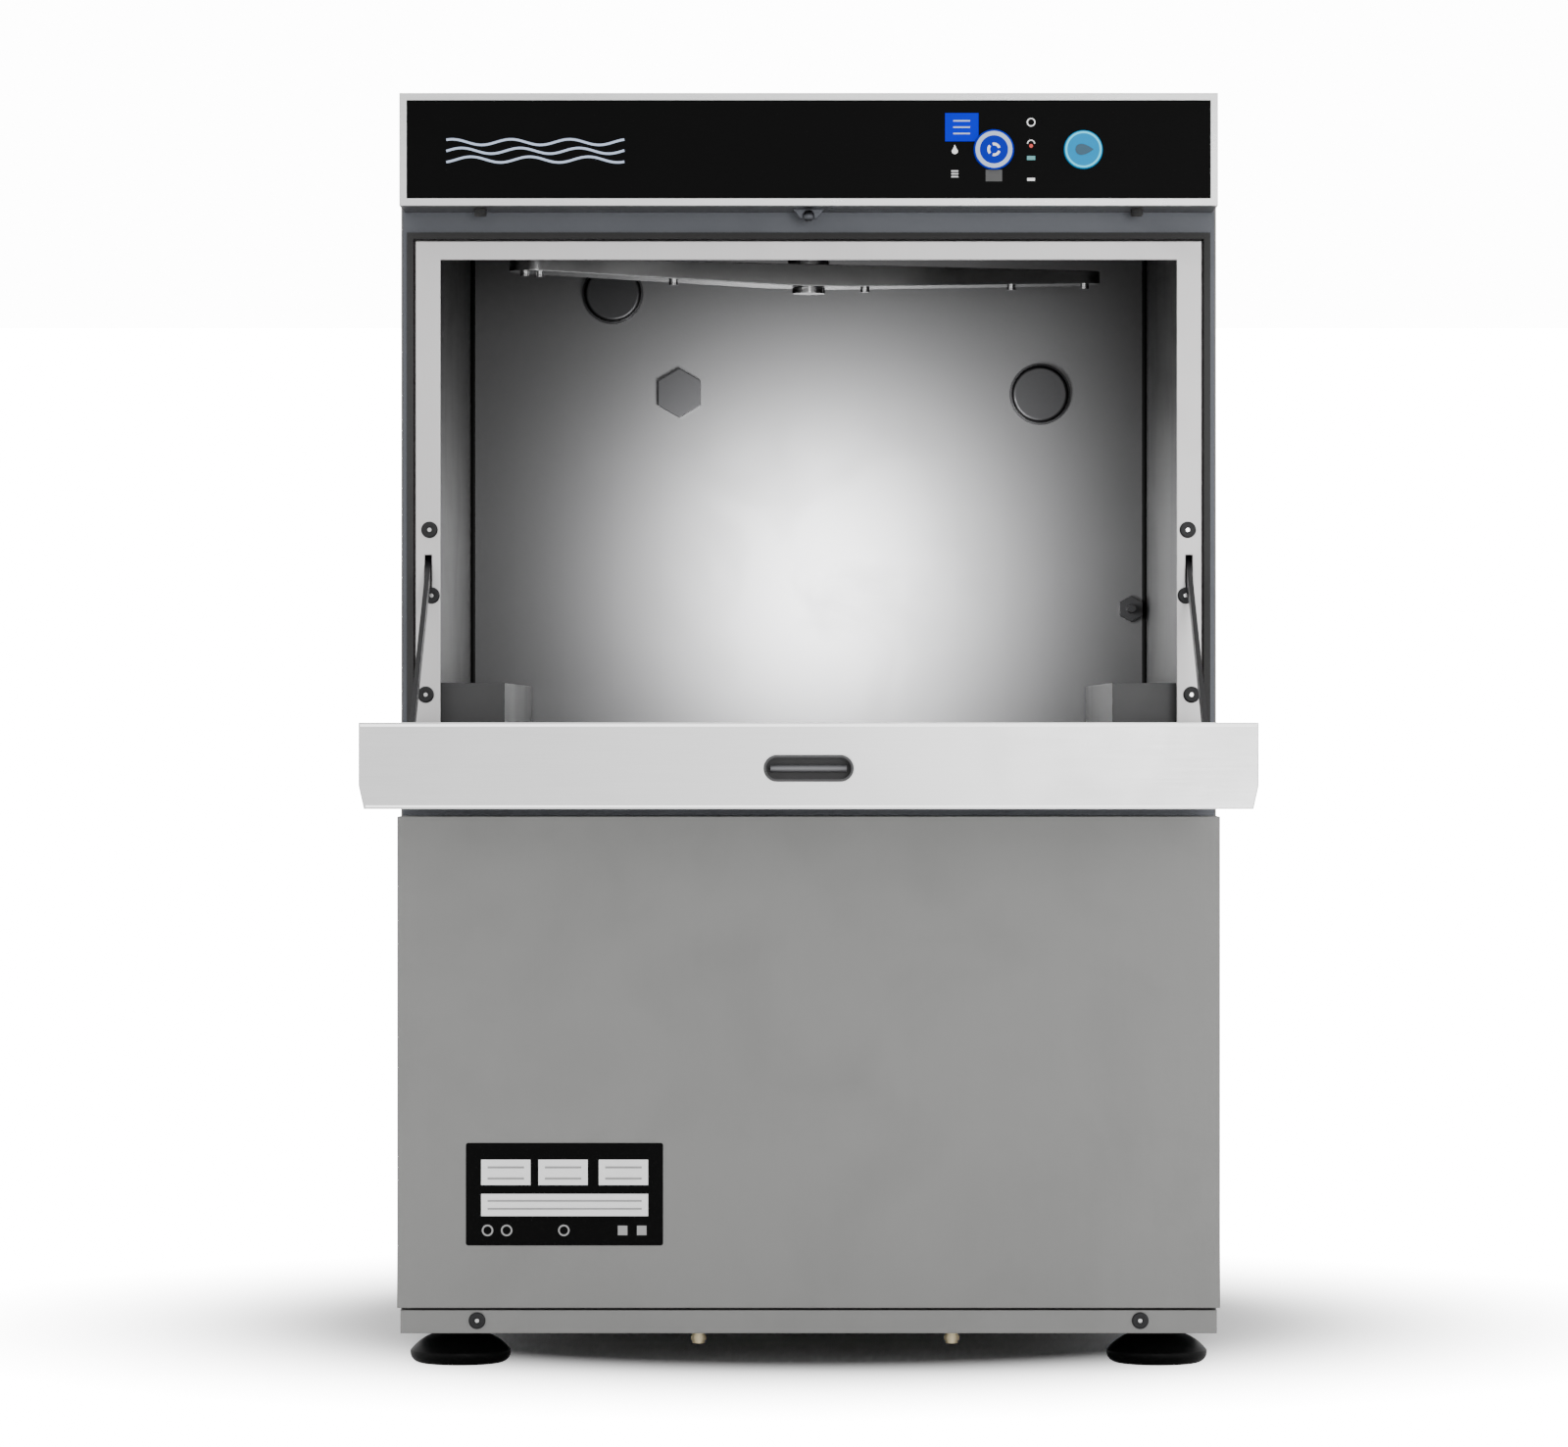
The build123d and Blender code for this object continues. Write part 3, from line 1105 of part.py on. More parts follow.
# ---------------------------------------------------------------- write the nodes
save("base_tray", base_tray())
save("side_panel_right", side_panel())
save("side_panel_left", other_side(side_panel()))
save("back_panel", back_panel())
save("top_panel", top_panel())
save("front_frame", front_frame())
save("portal_frame", portal_frame())
save("mouth_seal", mouth_seal())
save("lower_front_panel", lower_front_panel())
save("kick_strip", kick_strip())
save("panel_screws", *panel_screws())
save("data_plate", data_plate())
for name, (x, y) in foot_places().items():
    save(name, foot(x, y))

save("control_bezel", control_bezel())
save("control_overlay", control_overlay())
save("display_window", display_window(OVERLAY_RECESS, OVERLAY_BACK) - button_ways(-1, OVERLAY_BACK + 1))
save("control_carrier", control_carrier())
save("control_board", control_board())
save("select_button", button(SELECT_X, SELECT_RADIUS))
save("start_button", button(START_X, START_RADIUS))

save("wash_chamber", wash_chamber())
save("wash_tank", wash_tank())
save("tank_filter", tank_filter())
save("rack_rails", rack_rail(), other_side(rack_rail()))
save("wall_caps", *[wall_cap(x, z) for x, z in WALL_CAPS])
save("rinse_nut", rinse_nut())
save("probe_gland", probe_gland())

upper = Pos(0, HUB_Y, UPPER_ARM_TOP)
lower = Pos(0, HUB_Y, LOWER_ARM_BOTTOM)
save("upper_wash_arm", upper * wash_arm())
save("lower_wash_arm", lower * upside_down(wash_arm()))
save("arm_spindles", upper * spindle(), lower * upside_down(spindle()))

save("sump_cup", sump_cup())
save("wash_pump_housing", wash_pump_housing())
save("wash_pump_motor", wash_pump_motor())
save("wash_pump_rotor", wash_pump_rotor())
save("wash_manifold", wash_manifold())
save("drain_pump", drain_pump())
save("drain_hose", drain_hose())
save("drain_spigot", drain_spigot())
save("rinse_boiler", rinse_boiler())
save("inlet_valve", inlet_valve())
save("rinse_pipe", rinse_pipe())
save("dosing_pumps", *dosing_pumps())
save("base_nipples", *base_nipples())
save("cable_gland", cable_gland())

save("latch_strike", latch_strike())
save("door_bumpers", *door_bumpers())
save("hinge_brackets", hinge_bracket(), other_side(hinge_bracket()))
save("stay_arm_right", stay_arm())
save("stay_arm_left", other_side(stay_arm()))
save("stay_springs", stay_spring(), other_side(stay_spring()))

save("door_outer_skin", fold_down(door_outer_skin()))
save("door_inner_panel", fold_down(door_inner_panel()))
save("door_insulation", fold_down(door_insulation()))
save("latch_cup", fold_down(latch_cup()))
save("latch_roller", fold_down(latch_roller()))
blocks = [hinge_block(), other_side(hinge_block()), stay_block(), other_side(stay_block())]
save("door_pivot_blocks", *[fold_down(shape) for shape in blocks])
save("hinge_pins", fold_down(hinge_pin()), fold_down(other_side(hinge_pin())))
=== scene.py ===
# %% [markdown]
# # An undercounter dishwasher with its door down
# The machine's frame, panels and joints come ready made, each in its own place. This file lights
# them, gives every piece a finish, and makes the small things that are all surface: printed
# symbols, coiled springs and the soft corners of the steel chamber.

# %% Load the machine
import json
from math import pi

import bpy
import numpy as np
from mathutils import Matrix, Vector


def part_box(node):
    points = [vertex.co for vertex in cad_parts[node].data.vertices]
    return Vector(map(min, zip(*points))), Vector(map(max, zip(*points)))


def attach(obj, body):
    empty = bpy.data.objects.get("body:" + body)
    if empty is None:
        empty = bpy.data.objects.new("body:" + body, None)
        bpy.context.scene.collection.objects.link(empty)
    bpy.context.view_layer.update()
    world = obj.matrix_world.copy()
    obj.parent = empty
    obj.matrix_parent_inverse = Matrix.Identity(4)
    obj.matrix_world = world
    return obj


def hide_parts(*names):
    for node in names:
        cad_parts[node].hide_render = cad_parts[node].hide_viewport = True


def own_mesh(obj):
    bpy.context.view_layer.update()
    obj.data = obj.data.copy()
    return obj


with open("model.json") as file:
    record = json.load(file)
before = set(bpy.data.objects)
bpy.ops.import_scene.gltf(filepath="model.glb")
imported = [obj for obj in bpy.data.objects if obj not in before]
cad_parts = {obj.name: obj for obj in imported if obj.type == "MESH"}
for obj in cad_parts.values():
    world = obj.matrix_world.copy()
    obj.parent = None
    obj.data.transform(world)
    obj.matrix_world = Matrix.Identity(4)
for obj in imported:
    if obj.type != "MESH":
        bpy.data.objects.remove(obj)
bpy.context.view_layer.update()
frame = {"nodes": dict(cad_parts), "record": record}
MM = 0.001
joints = {joint["name"]: joint for joint in frame["record"]["behaviour"]["joints"]}

# %% [markdown]
# ## Camera
# The machine is seen from far away through a long lens, so that upright edges stay upright. The
# lens stands level with the lowered door, which is why the door is seen exactly edge-on. A small
# sideways shift moves the machine a little to the right of the middle.

# %% Camera
CAMERA_DISTANCE = 4.067
CAMERA_HEIGHT = 0.409
LENS = 148.4
SIDE_SHIFT = -0.0157

fascia_low, fascia_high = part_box("control_bezel")
FASCIA_Y = fascia_low[1]
camera_data = bpy.data.cameras.new("camera")
camera_data.lens = LENS
camera_data.sensor_width = 36.0
camera_data.shift_x = SIDE_SHIFT
camera_data.clip_end = 50.0
camera = bpy.data.objects.new("camera", camera_data)
camera.location = (0.0, FASCIA_Y - CAMERA_DISTANCE, CAMERA_HEIGHT)
camera.rotation_euler = (pi / 2, 0.0, 0.0)
bpy.context.scene.collection.objects.link(camera)
bpy.context.scene.camera = camera
print("camera", tuple(camera.location))

# %% [markdown]
# ## Floor and light
# The floor is a plain white sheet that curves up far behind the machine. The sky is white too, and
# looks brighter than it lights. Four soft lights do the modelling: one above in front, one from the
# right side, one just inside the chamber's mouth that glows on its back wall, and one far in front
# that brightens the right end of the door.

# %% Floor and light
FLOOR_SIZE = 9.0


def grid_mesh(name, points, close_u=False, close_v=False):
    """Mesh from an array of points (rows u, columns v, 3): each four neighbours make one face."""
    rows, columns = points.shape[:2]
    index = np.arange(rows * columns).reshape(rows, columns)
    if close_u:
        index = np.vstack([index, index[:1]])
    if close_v:
        index = np.hstack([index, index[:, :1]])
    corners = [index[:-1, :-1], index[1:, :-1], index[1:, 1:], index[:-1, 1:]]
    faces = np.stack([corner.ravel() for corner in corners], axis=1)
    mesh = bpy.data.meshes.new(name)
    mesh.from_pydata(points.reshape(-1, 3).tolist(), [], faces.tolist())
    mesh.validate()
    return mesh


def add_object(name, mesh, material=None):
    """Put a mesh in the scene as an object at the origin."""
    made = bpy.data.objects.new(name, mesh)
    bpy.context.scene.collection.objects.link(made)
    if material:
        mesh.materials.append(material)
    return made


u, v = np.meshgrid(np.linspace(-1, 1, 9), np.linspace(-1, 1, 25), indexing="ij")
CURVE_START = 0.55
CURVE_HEIGHT = 6.0
rise = np.clip(v - CURVE_START, 0, None) ** 2 * CURVE_HEIGHT
floor_points = np.stack([u * FLOOR_SIZE, v * FLOOR_SIZE, rise], axis=-1)
floor = add_object("floor", grid_mesh("floor", floor_points))

world = bpy.data.worlds.new("studio")
bpy.context.scene.world = world
world.use_nodes = True
world.node_tree.nodes["Background"].inputs["Color"].default_value = (1.0, 1.0, 1.0, 1.0)
SKY_STRENGTH = 1.3
SEEN_SKY = 14.0
sky = world.node_tree.nodes["Background"]
rays = world.node_tree.nodes.new("ShaderNodeLightPath")
sky_level = world.node_tree.nodes.new("ShaderNodeMapRange")
sky_level.inputs["To Min"].default_value = SKY_STRENGTH
sky_level.inputs["To Max"].default_value = SEEN_SKY
world.node_tree.links.new(rays.outputs["Is Camera Ray"], sky_level.inputs["Value"])
world.node_tree.links.new(sky_level.outputs["Result"], sky.inputs["Strength"])


def soft_light(name, place, aim, size, power, fan=pi):
    """A square area light at a place, turned towards a point."""
    data = bpy.data.lights.new(name, "AREA")
    data.shape = "RECTANGLE"
    data.size, data.size_y = size
    data.energy = power
    data.spread = fan
    lamp = bpy.data.objects.new(name, data)
    lamp.location = place
    lamp.rotation_euler = (Vector(aim) - Vector(place)).to_track_quat("-Z", "Y").to_euler()
    lamp.visible_camera = False
    bpy.context.scene.collection.objects.link(lamp)
    return lamp


chamber_low, chamber_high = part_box("wash_chamber")
back_wall_y = chamber_high[1]
soft_light("top_light", (0.0, -1.6, 2.6), (0, 0, 0.5), (2.0, 1.4), 16.0)
soft_light("side_light", (2.4, -1.6, 0.9), (0.2, -0.3, 0.4), (0.8, 1.2), 10.0)
GLOW_FROM = (0.01, chamber_low[1] + 0.08, 0.515)
GLOW_ON = (0.012, back_wall_y, 0.51)
soft_light("chamber_glow", GLOW_FROM, GLOW_ON, (0.10, 0.14), 2.1, 1.45)
soft_light("strip_light", (0.55, FASCIA_Y - 3.5, 0.6), (0.25, FASCIA_Y - 0.3, 0.4), (0.6, 0.6), 11.0)

# %% [markdown]
# ## Shared effects
# Rolled steel is never even: it has fine straight scratches from the finishing belt, slow cloudy
# patches and, after some use, faint smears. All steel here shares one node group for the grain and
# one for the smears. Each puts out masks only, and every material mixes them in its own amounts.

# %% Grain and smears


def new_group(name, inputs, outputs):
    """An empty shader group with named sockets, and its input and output nodes."""
    group = bpy.data.node_groups.new(name, "ShaderNodeTree")
    for kind, label, value in inputs:
        socket = group.interface.new_socket(name=label, in_out="INPUT", socket_type=kind)
        if value is not None:
            socket.default_value = value
    for kind, label in outputs:
        group.interface.new_socket(name=label, in_out="OUTPUT", socket_type=kind)
    return group, group.nodes.new("NodeGroupInput"), group.nodes.new("NodeGroupOutput")


def grain_group():
    """Belt grain: noise stretched along one way, plus slow clouds, both from 0 to 1."""
    group, given, result = new_group(
        "belt_grain",
        [("NodeSocketVector", "Vector", None), ("NodeSocketVector", "Stretch", (1.0, 1.0, 0.02)),
         ("NodeSocketFloat", "Fineness", 1500.0)],
        [("NodeSocketFloat", "Grain"), ("NodeSocketFloat", "Clouds")],
    )
    stretch = group.nodes.new("ShaderNodeVectorMath")
    stretch.operation = "MULTIPLY"
    fine = group.nodes.new("ShaderNodeTexNoise")
    fine.inputs["Detail"].default_value = 4.0
    clouds = group.nodes.new("ShaderNodeTexNoise")
    clouds.inputs["Scale"].default_value = 5.0
    clouds.inputs["Detail"].default_value = 3.0
    link = group.links.new
    link(given.outputs["Vector"], stretch.inputs[0])
    link(given.outputs["Stretch"], stretch.inputs[1])
    link(stretch.outputs[0], fine.inputs["Vector"])
    link(given.outputs["Fineness"], fine.inputs["Scale"])
    link(given.outputs["Vector"], clouds.inputs["Vector"])
    link(fine.outputs["Fac"], result.inputs["Grain"])
    link(clouds.outputs["Fac"], result.inputs["Clouds"])
    return group


def smear_group():
    """Wiped smears: wavy noise kept only where it is strongest, from 0 to 1."""
    group, given, result = new_group(
        "wiped_smears",
        [("NodeSocketVector", "Vector", None), ("NodeSocketFloat", "Scale", 9.0)],
        [("NodeSocketFloat", "Smear")],
    )
    noise = group.nodes.new("ShaderNodeTexNoise")
    noise.inputs["Detail"].default_value = 6.0
    noise.inputs["Distortion"].default_value = 1.5
    keep = group.nodes.new("ShaderNodeMapRange")
    keep.inputs["From Min"].default_value = 0.45
    keep.inputs["From Max"].default_value = 0.75
    link = group.links.new
    link(given.outputs["Vector"], noise.inputs["Vector"])
    link(given.outputs["Scale"], noise.inputs["Scale"])
    link(noise.outputs["Fac"], keep.inputs["Value"])
    link(keep.outputs["Result"], result.inputs["Smear"])
    return group


BELT_GRAIN = grain_group()
WIPED_SMEARS = smear_group()
print("groups", BELT_GRAIN.name, WIPED_SMEARS.name)

# %% [markdown]
# ## Finishes
# One function makes every steel: the grain nudges colour and roughness and raises a very fine bump,
# and a rounded-edge normal lets each fold catch a thin line of light, as a real bend does. Another
# makes mouldings, rubber, paint and printed ink, which differ in roughness and in a fine texture.

# %% Steel


def spread(tree, source, low, high):
    """Map Range from 0..1 to low..high."""
    node = tree.nodes.new("ShaderNodeMapRange")
    node.inputs["To Min"].default_value = low
    node.inputs["To Max"].default_value = high
    tree.links.new(source, node.inputs["Value"])
    return node.outputs["Result"]


def two_tones(tree, source, dark, light):
    """Colour ramp between two greys or colours."""
    ramp = tree.nodes.new("ShaderNodeValToRGB")
    ramp.color_ramp.elements[0].color = (*dark, 1.0)
    ramp.color_ramp.elements[1].color = (*light, 1.0)
    tree.links.new(source, ramp.inputs["Fac"])
    return ramp.outputs["Color"]


def start_material(name):
    """A material with its tree, its shader and object coordinates."""
    material = bpy.data.materials.new(name)
    material.use_nodes = True
    tree = material.node_tree
    place = tree.nodes.new("ShaderNodeTexCoord").outputs["Object"]
    return material, tree, tree.nodes["Principled BSDF"], place


def steel(name, tone, rough=0.4, grain=(1.0, 1.0, 0.02), metallic=1.0, fold=0.8 * MM, contrast=0.07):
    """Belt-ground steel with its grain along the axis where the stretch is small."""
    material, tree, shader, place = start_material(name)
    tone = np.array(tone)
    belt = tree.nodes.new("ShaderNodeGroup")
    belt.node_tree = BELT_GRAIN
    belt.inputs["Stretch"].default_value = grain
    tree.links.new(place, belt.inputs["Vector"])
    wiped = tree.nodes.new("ShaderNodeGroup")
    wiped.node_tree = WIPED_SMEARS
    tree.links.new(place, wiped.inputs["Vector"])
    both = tree.nodes.new("ShaderNodeMath")
    both.operation = "MULTIPLY_ADD"
    both.inputs[1].default_value = 0.6
    tree.links.new(belt.outputs["Grain"], both.inputs[0])
    tree.links.new(spread(tree, belt.outputs["Clouds"], 0.0, 0.4), both.inputs[2])
    colour = two_tones(tree, both.outputs[0], tone * (1 - contrast), np.minimum(tone * (1 + contrast), 1))
    tree.links.new(colour, shader.inputs["Base Color"])
    roughness = tree.nodes.new("ShaderNodeMath")
    roughness.operation = "ADD"
    tree.links.new(spread(tree, belt.outputs["Grain"], rough - 0.05, rough + 0.05), roughness.inputs[0])
    tree.links.new(spread(tree, wiped.outputs["Smear"], 0.0, 0.05), roughness.inputs[1])
    tree.links.new(roughness.outputs[0], shader.inputs["Roughness"])
    edge = tree.nodes.new("ShaderNodeBevel")
    edge.samples = 4
    edge.inputs["Radius"].default_value = fold
    bump = tree.nodes.new("ShaderNodeBump")
    bump.inputs["Strength"].default_value = 0.06
    bump.inputs["Distance"].default_value = 0.05 * MM
    tree.links.new(belt.outputs["Grain"], bump.inputs["Height"])
    tree.links.new(edge.outputs["Normal"], bump.inputs["Normal"])
    tree.links.new(bump.outputs["Normal"], shader.inputs["Normal"])
    shader.inputs["Metallic"].default_value = metallic
    return material


ALONG_X = (0.02, 1.0, 1.0)
ALONG_Z = (1.0, 1.0, 0.02)
EVEN = (1.0, 1.0, 1.0)
casing_steel = steel("casing_steel", (0.245, 0.245, 0.24), 0.50, ALONG_Z, contrast=0.04)
frame_steel = steel("frame_steel", (0.105, 0.11, 0.122), 0.42, ALONG_X)
portal_steel = steel("portal_steel", (0.60, 0.59, 0.59), 0.38, ALONG_Z, fold=1.2 * MM)
chamber_steel = steel("chamber_steel", (0.072, 0.072, 0.073), 0.40, EVEN, contrast=0.05)
door_steel = steel("door_steel", (0.78, 0.78, 0.78), 0.30, ALONG_X, fold=1.2 * MM)
fascia_steel = steel("fascia_metal", (0.75, 0.75, 0.75), 0.28, ALONG_X)
bright_steel = steel("bright_steel", (0.62, 0.62, 0.62), 0.18, EVEN)
inner_steel = steel("inner_steel", (0.36, 0.36, 0.36), 0.38, ALONG_X)
cap_steel = steel("cap_steel", (0.032, 0.032, 0.033), 0.4, EVEN)
# Near black for the chamber's back corners: painted shade in the creases.
corner_shade_steel = steel("painted_corner_shade", (0.006, 0.006, 0.006), 0.6, ALONG_Z)
print("steels", casing_steel.name, door_steel.name)

# %% Mouldings, rubber, paint and ink


def moulded(name, tone, rough=0.5, texture=900.0, depth=0.02, metallic=0.0, vary=0.12, shine=0.5):
    """A moulded or painted surface: cloudy colour, uneven roughness and a fine pebble bump."""
    material, tree, shader, place = start_material(name)
    tone = np.array(tone)
    clouds = tree.nodes.new("ShaderNodeTexNoise")
    clouds.inputs["Scale"].default_value = 30.0
    clouds.inputs["Detail"].default_value = 4.0
    pebble = tree.nodes.new("ShaderNodeTexNoise")
    pebble.inputs["Scale"].default_value = texture
    for node in (clouds, pebble):
        tree.links.new(place, node.inputs["Vector"])
    colour = two_tones(tree, clouds.outputs["Fac"], tone * (1 - vary), np.minimum(tone * (1 + vary), 1))
    tree.links.new(colour, shader.inputs["Base Color"])
    uneven = spread(tree, clouds.outputs["Fac"], rough - 0.05, rough + 0.05)
    tree.links.new(uneven, shader.inputs["Roughness"])
    bump = tree.nodes.new("ShaderNodeBump")
    bump.inputs["Strength"].default_value = 0.25
    bump.inputs["Distance"].default_value = depth * MM
    tree.links.new(pebble.outputs["Fac"], bump.inputs["Height"])
    tree.links.new(bump.outputs["Normal"], shader.inputs["Normal"])
    shader.inputs["Metallic"].default_value = metallic
    shader.inputs["Specular IOR Level"].default_value = shine
    return material


def lit(name, tone, strength, shine=0.3):
    """A glow brighter in slow patches, for ink and windows lit from behind and for painted highlights."""
    material = moulded(name, tone, rough=0.3, depth=0.0, vary=0.08, shine=shine)
    shader = material.node_tree.nodes["Principled BSDF"]
    shader.inputs["Emission Color"].default_value = (*tone, 1.0)
    shader.inputs["Emission Strength"].default_value = strength
    return material


overlay_black = moulded("overlay_black", (0.002, 0.002, 0.002), 0.35, depth=0.0, shine=0.04)
display_blue = lit("display_glass", (0.0, 0.004, 0.50), 0.25, 0.02)
button_blue = lit("button_blue", (0.0, 0.012, 0.36), 0.15, 0.04)
button_cyan = lit("button_cyan", (0.0, 0.20, 0.42), 0.4, 0.04)
# Painted highlight: near-white glow for the two folds of the door's edge.
painted_fold_highlight = lit("painted_fold_highlight", (0.97, 0.97, 0.97), 1.2)
silver_ink = lit("silver_ink", (0.42, 0.50, 0.66), 0.15)
white_ink = lit("white_ink", (0.85, 0.85, 0.85), 0.25)
grey_ink = moulded("grey_ink", (0.35, 0.35, 0.35), 0.5)
pale_cyan_ink = lit("pale_cyan_ink", (0.05, 0.60, 0.80), 0.5, 0.04)
label_ink = moulded("label_ink", (0.09, 0.09, 0.09), 0.5, depth=0.0, shine=0.1)
dark_ink = moulded("dark_ink", (0.02, 0.08, 0.13), 0.5)
teal_ink = moulded("teal_ink", (0.10, 0.33, 0.34), 0.5)
red_ink = lit("red_ink", (0.6, 0.05, 0.04), 0.2)
board_green = moulded("board_green", (0.03, 0.16, 0.07), 0.5)
black_plastic = moulded("black_plastic", (0.004, 0.004, 0.004), 0.38, depth=0.05, shine=0.12)
foot_black = moulded("foot_black", (0.003, 0.003, 0.003), 0.42, depth=0.05, shine=0.1)
cup_grey = moulded("cup_grey", (0.045, 0.045, 0.047), 0.45)
grey_plastic = moulded("grey_plastic", (0.20, 0.20, 0.21), 0.5, metallic=0.3)
black_paint = moulded("black_steel", (0.010, 0.010, 0.011), 0.4, shine=0.3)
motor_paint = moulded("motor_grey", (0.25, 0.26, 0.27), 0.45)
rubber = moulded("seal_rubber", (0.02, 0.02, 0.02), 0.7, depth=0.04)
felt = moulded("insulation_felt", (0.55, 0.52, 0.44), 0.9, texture=400.0, depth=0.4)
brass = moulded("nipple_brass", (0.72, 0.62, 0.40), 0.3, metallic=1.0)
floor_white = moulded("floor_white", (0.93, 0.93, 0.93), 0.8, texture=40.0, vary=0.01)
floor.data.materials.append(floor_white)


def floor_glow_with_painted_shadow(material, middle_y, reach, bright):
    """Floor seen white: it glows more with distance from a soft painted shadow under the machine."""
    tree = material.node_tree
    shader = tree.nodes["Principled BSDF"]
    place = tree.nodes.new("ShaderNodeTexCoord").outputs["Object"]
    shadow_patch = tree.nodes.new("ShaderNodeMapping")
    shadow_patch.inputs["Location"].default_value = (0.0, -middle_y / reach, 0.0)
    shadow_patch.inputs["Scale"].default_value = (1 / reach, 1 / reach, 0.0)
    far = tree.nodes.new("ShaderNodeVectorMath")
    far.operation = "LENGTH"
    edge = tree.nodes.new("ShaderNodeMapRange")
    edge.interpolation_type = "SMOOTHSTEP"
    edge.inputs["From Min"].default_value = 0.35
    seen = tree.nodes.new("ShaderNodeLightPath")
    glow = tree.nodes.new("ShaderNodeMath")
    glow.operation = "MULTIPLY"
    tree.links.new(place, shadow_patch.inputs["Vector"])
    tree.links.new(shadow_patch.outputs["Vector"], far.inputs[0])
    tree.links.new(far.outputs["Value"], edge.inputs["Value"])
    tree.links.new(spread(tree, edge.outputs["Result"], 0.0, bright), glow.inputs[0])
    tree.links.new(seen.outputs["Is Camera Ray"], glow.inputs[1])
    tree.links.new(glow.outputs[0], shader.inputs["Emission Strength"])
    shader.inputs["Emission Color"].default_value = (1.0, 1.0, 1.0, 1.0)


# Painted shadow: the floor stays grey round the machine and glows white further out.
floor_glow_with_painted_shadow(floor_white, FASCIA_Y + 0.36, 0.80, 20.0)


def shade_underside(material, dark):
    """Darken the faces that look straight down, which the floor's light hardly reaches."""
    tree = material.node_tree
    shader = tree.nodes["Principled BSDF"]
    before = shader.inputs["Base Color"].links[0].from_socket
    way = tree.nodes.new("ShaderNodeSeparateXYZ")
    facing = tree.nodes.new("ShaderNodeTexCoord").outputs["Normal"]
    level = tree.nodes.new("ShaderNodeMapRange")
    level.inputs["From Min"].default_value = -0.9
    level.inputs["From Max"].default_value = -0.5
    level.inputs["To Min"].default_value = dark
    mix = tree.nodes.new("ShaderNodeMix")
    mix.data_type = "RGBA"
    mix.blend_type = "MULTIPLY"
    mix.inputs["Factor"].default_value = 1.0
    tree.links.new(facing, way.inputs[0])
    tree.links.new(way.outputs["Z"], level.inputs["Value"])
    tree.links.new(before, mix.inputs["A"])
    tree.links.new(level.outputs["Result"], mix.inputs["B"])
    tree.links.new(mix.outputs["Result"], shader.inputs["Base Color"])


shade_underside(fascia_steel, 0.12)
print("inks and floor ready")

# %% [markdown]
# ## Dress the ready-made pieces
# Every ready-made piece already knows the name of its finish, so a table from finish to material
# is all it takes.

# %% Give each piece its finish
FINISHES = {
    "casing_steel": casing_steel, "frame_steel": frame_steel, "portal_steel": portal_steel,
    "chamber_steel": chamber_steel, "door_steel": door_steel, "fascia_metal": fascia_steel,
    "overlay_black": overlay_black, "display_glass": display_blue, "board_green": board_green,
    "button_blue": button_blue, "button_cyan": button_cyan, "black_plastic": black_plastic,
    "foot_black": foot_black,
    "grey_plastic": grey_plastic, "bright_steel": bright_steel, "black_steel": black_paint,
    "motor_grey": motor_paint, "seal_rubber": rubber, "insulation_felt": felt, "nipple_brass": brass,
}
for entry in frame["record"]["subparts"]:
    piece = frame["nodes"][entry["node"]]
    piece.data.materials.clear()
    piece.data.materials.append(FINISHES[entry["material_slot"]])
NODE_FINISHES = {
    "door_inner_panel": inner_steel, "tank_filter": inner_steel,
    "lower_wash_arm": inner_steel, "wash_tank": inner_steel,
    "wall_caps": cap_steel, "rinse_nut": cap_steel, "probe_gland": cap_steel, "panel_screws": black_paint,
    "latch_roller": grey_plastic, "latch_cup": cup_grey,
}
for node, material in NODE_FINISHES.items():
    frame["nodes"][node].data.materials[0] = material

# %% [markdown]
# ## Printed symbols
# Every symbol is a flat shape a tenth of a millimetre in front of the face it is printed on. A
# ribbon follows a line with a steady width, and a ring lies between two circles. The control panel
# carries only made-up symbols: waves, a drop, dots and bars.

# %% Flat shapes
INK = 0.12 * MM


def ribbon(line_x, line_z, width, y):
    """Strip along a line: each point is moved half the width both ways across the line."""
    line = np.stack([line_x, line_z], axis=1)
    ahead = np.gradient(line, axis=0)
    ahead /= np.linalg.norm(ahead, axis=1, keepdims=True)
    across = np.stack([-ahead[:, 1], ahead[:, 0]], axis=1) * width / 2
    sides = np.stack([line - across, line + across])
    return np.stack([sides[..., 0], np.full(sides.shape[:2], y), sides[..., 1]], axis=-1)


def ring(x, z, inner, outer, y, start=0.0, turn=2 * pi):
    """Part of a ring: two arcs about one middle, at the inner and the outer radius."""
    angle = np.linspace(start, start + turn, 49)
    radius = np.array([[inner], [outer]])
    flat = np.ones((2, 1))
    return np.stack([x + radius * np.cos(angle), y * flat + 0 * angle, z + radius * np.sin(angle)], axis=-1)


def drop(x, z, radius, y):
    """Drop with its tip up: a circle whose upper half is drawn in to a point."""
    angle = np.linspace(0, 2 * pi, 49)
    lift = np.clip(np.sin(angle), 0, 1)
    across = radius * np.cos(angle) * (1 - 0.55 * lift)
    up = radius * np.sin(angle) * (1 + 0.9 * lift ** 3)
    rim = np.stack([x + across, y + 0 * angle, z + up], axis=-1)
    middle = np.broadcast_to([x, y, z], rim.shape)
    return np.stack([middle, rim])


def printed(name, shapes, material, body):
    """Join flat shapes into one object that rides a body."""
    corners, faces = [], []
    for points in shapes:
        rows, columns = points.shape[:2]
        index = np.arange(rows * columns).reshape(rows, columns) + len(corners)
        quads = [index[:-1, :-1], index[:-1, 1:], index[1:, 1:], index[1:, :-1]]
        faces += np.stack([quad.ravel() for quad in quads], axis=1).tolist()
        corners += points.reshape(-1, 3).tolist()
    mesh = bpy.data.meshes.new(name)
    mesh.from_pydata(corners, [], faces)
    made = add_object(name, mesh, material)
    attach(made, body)
    return made


print("ink stands", INK, "m in front of its face")

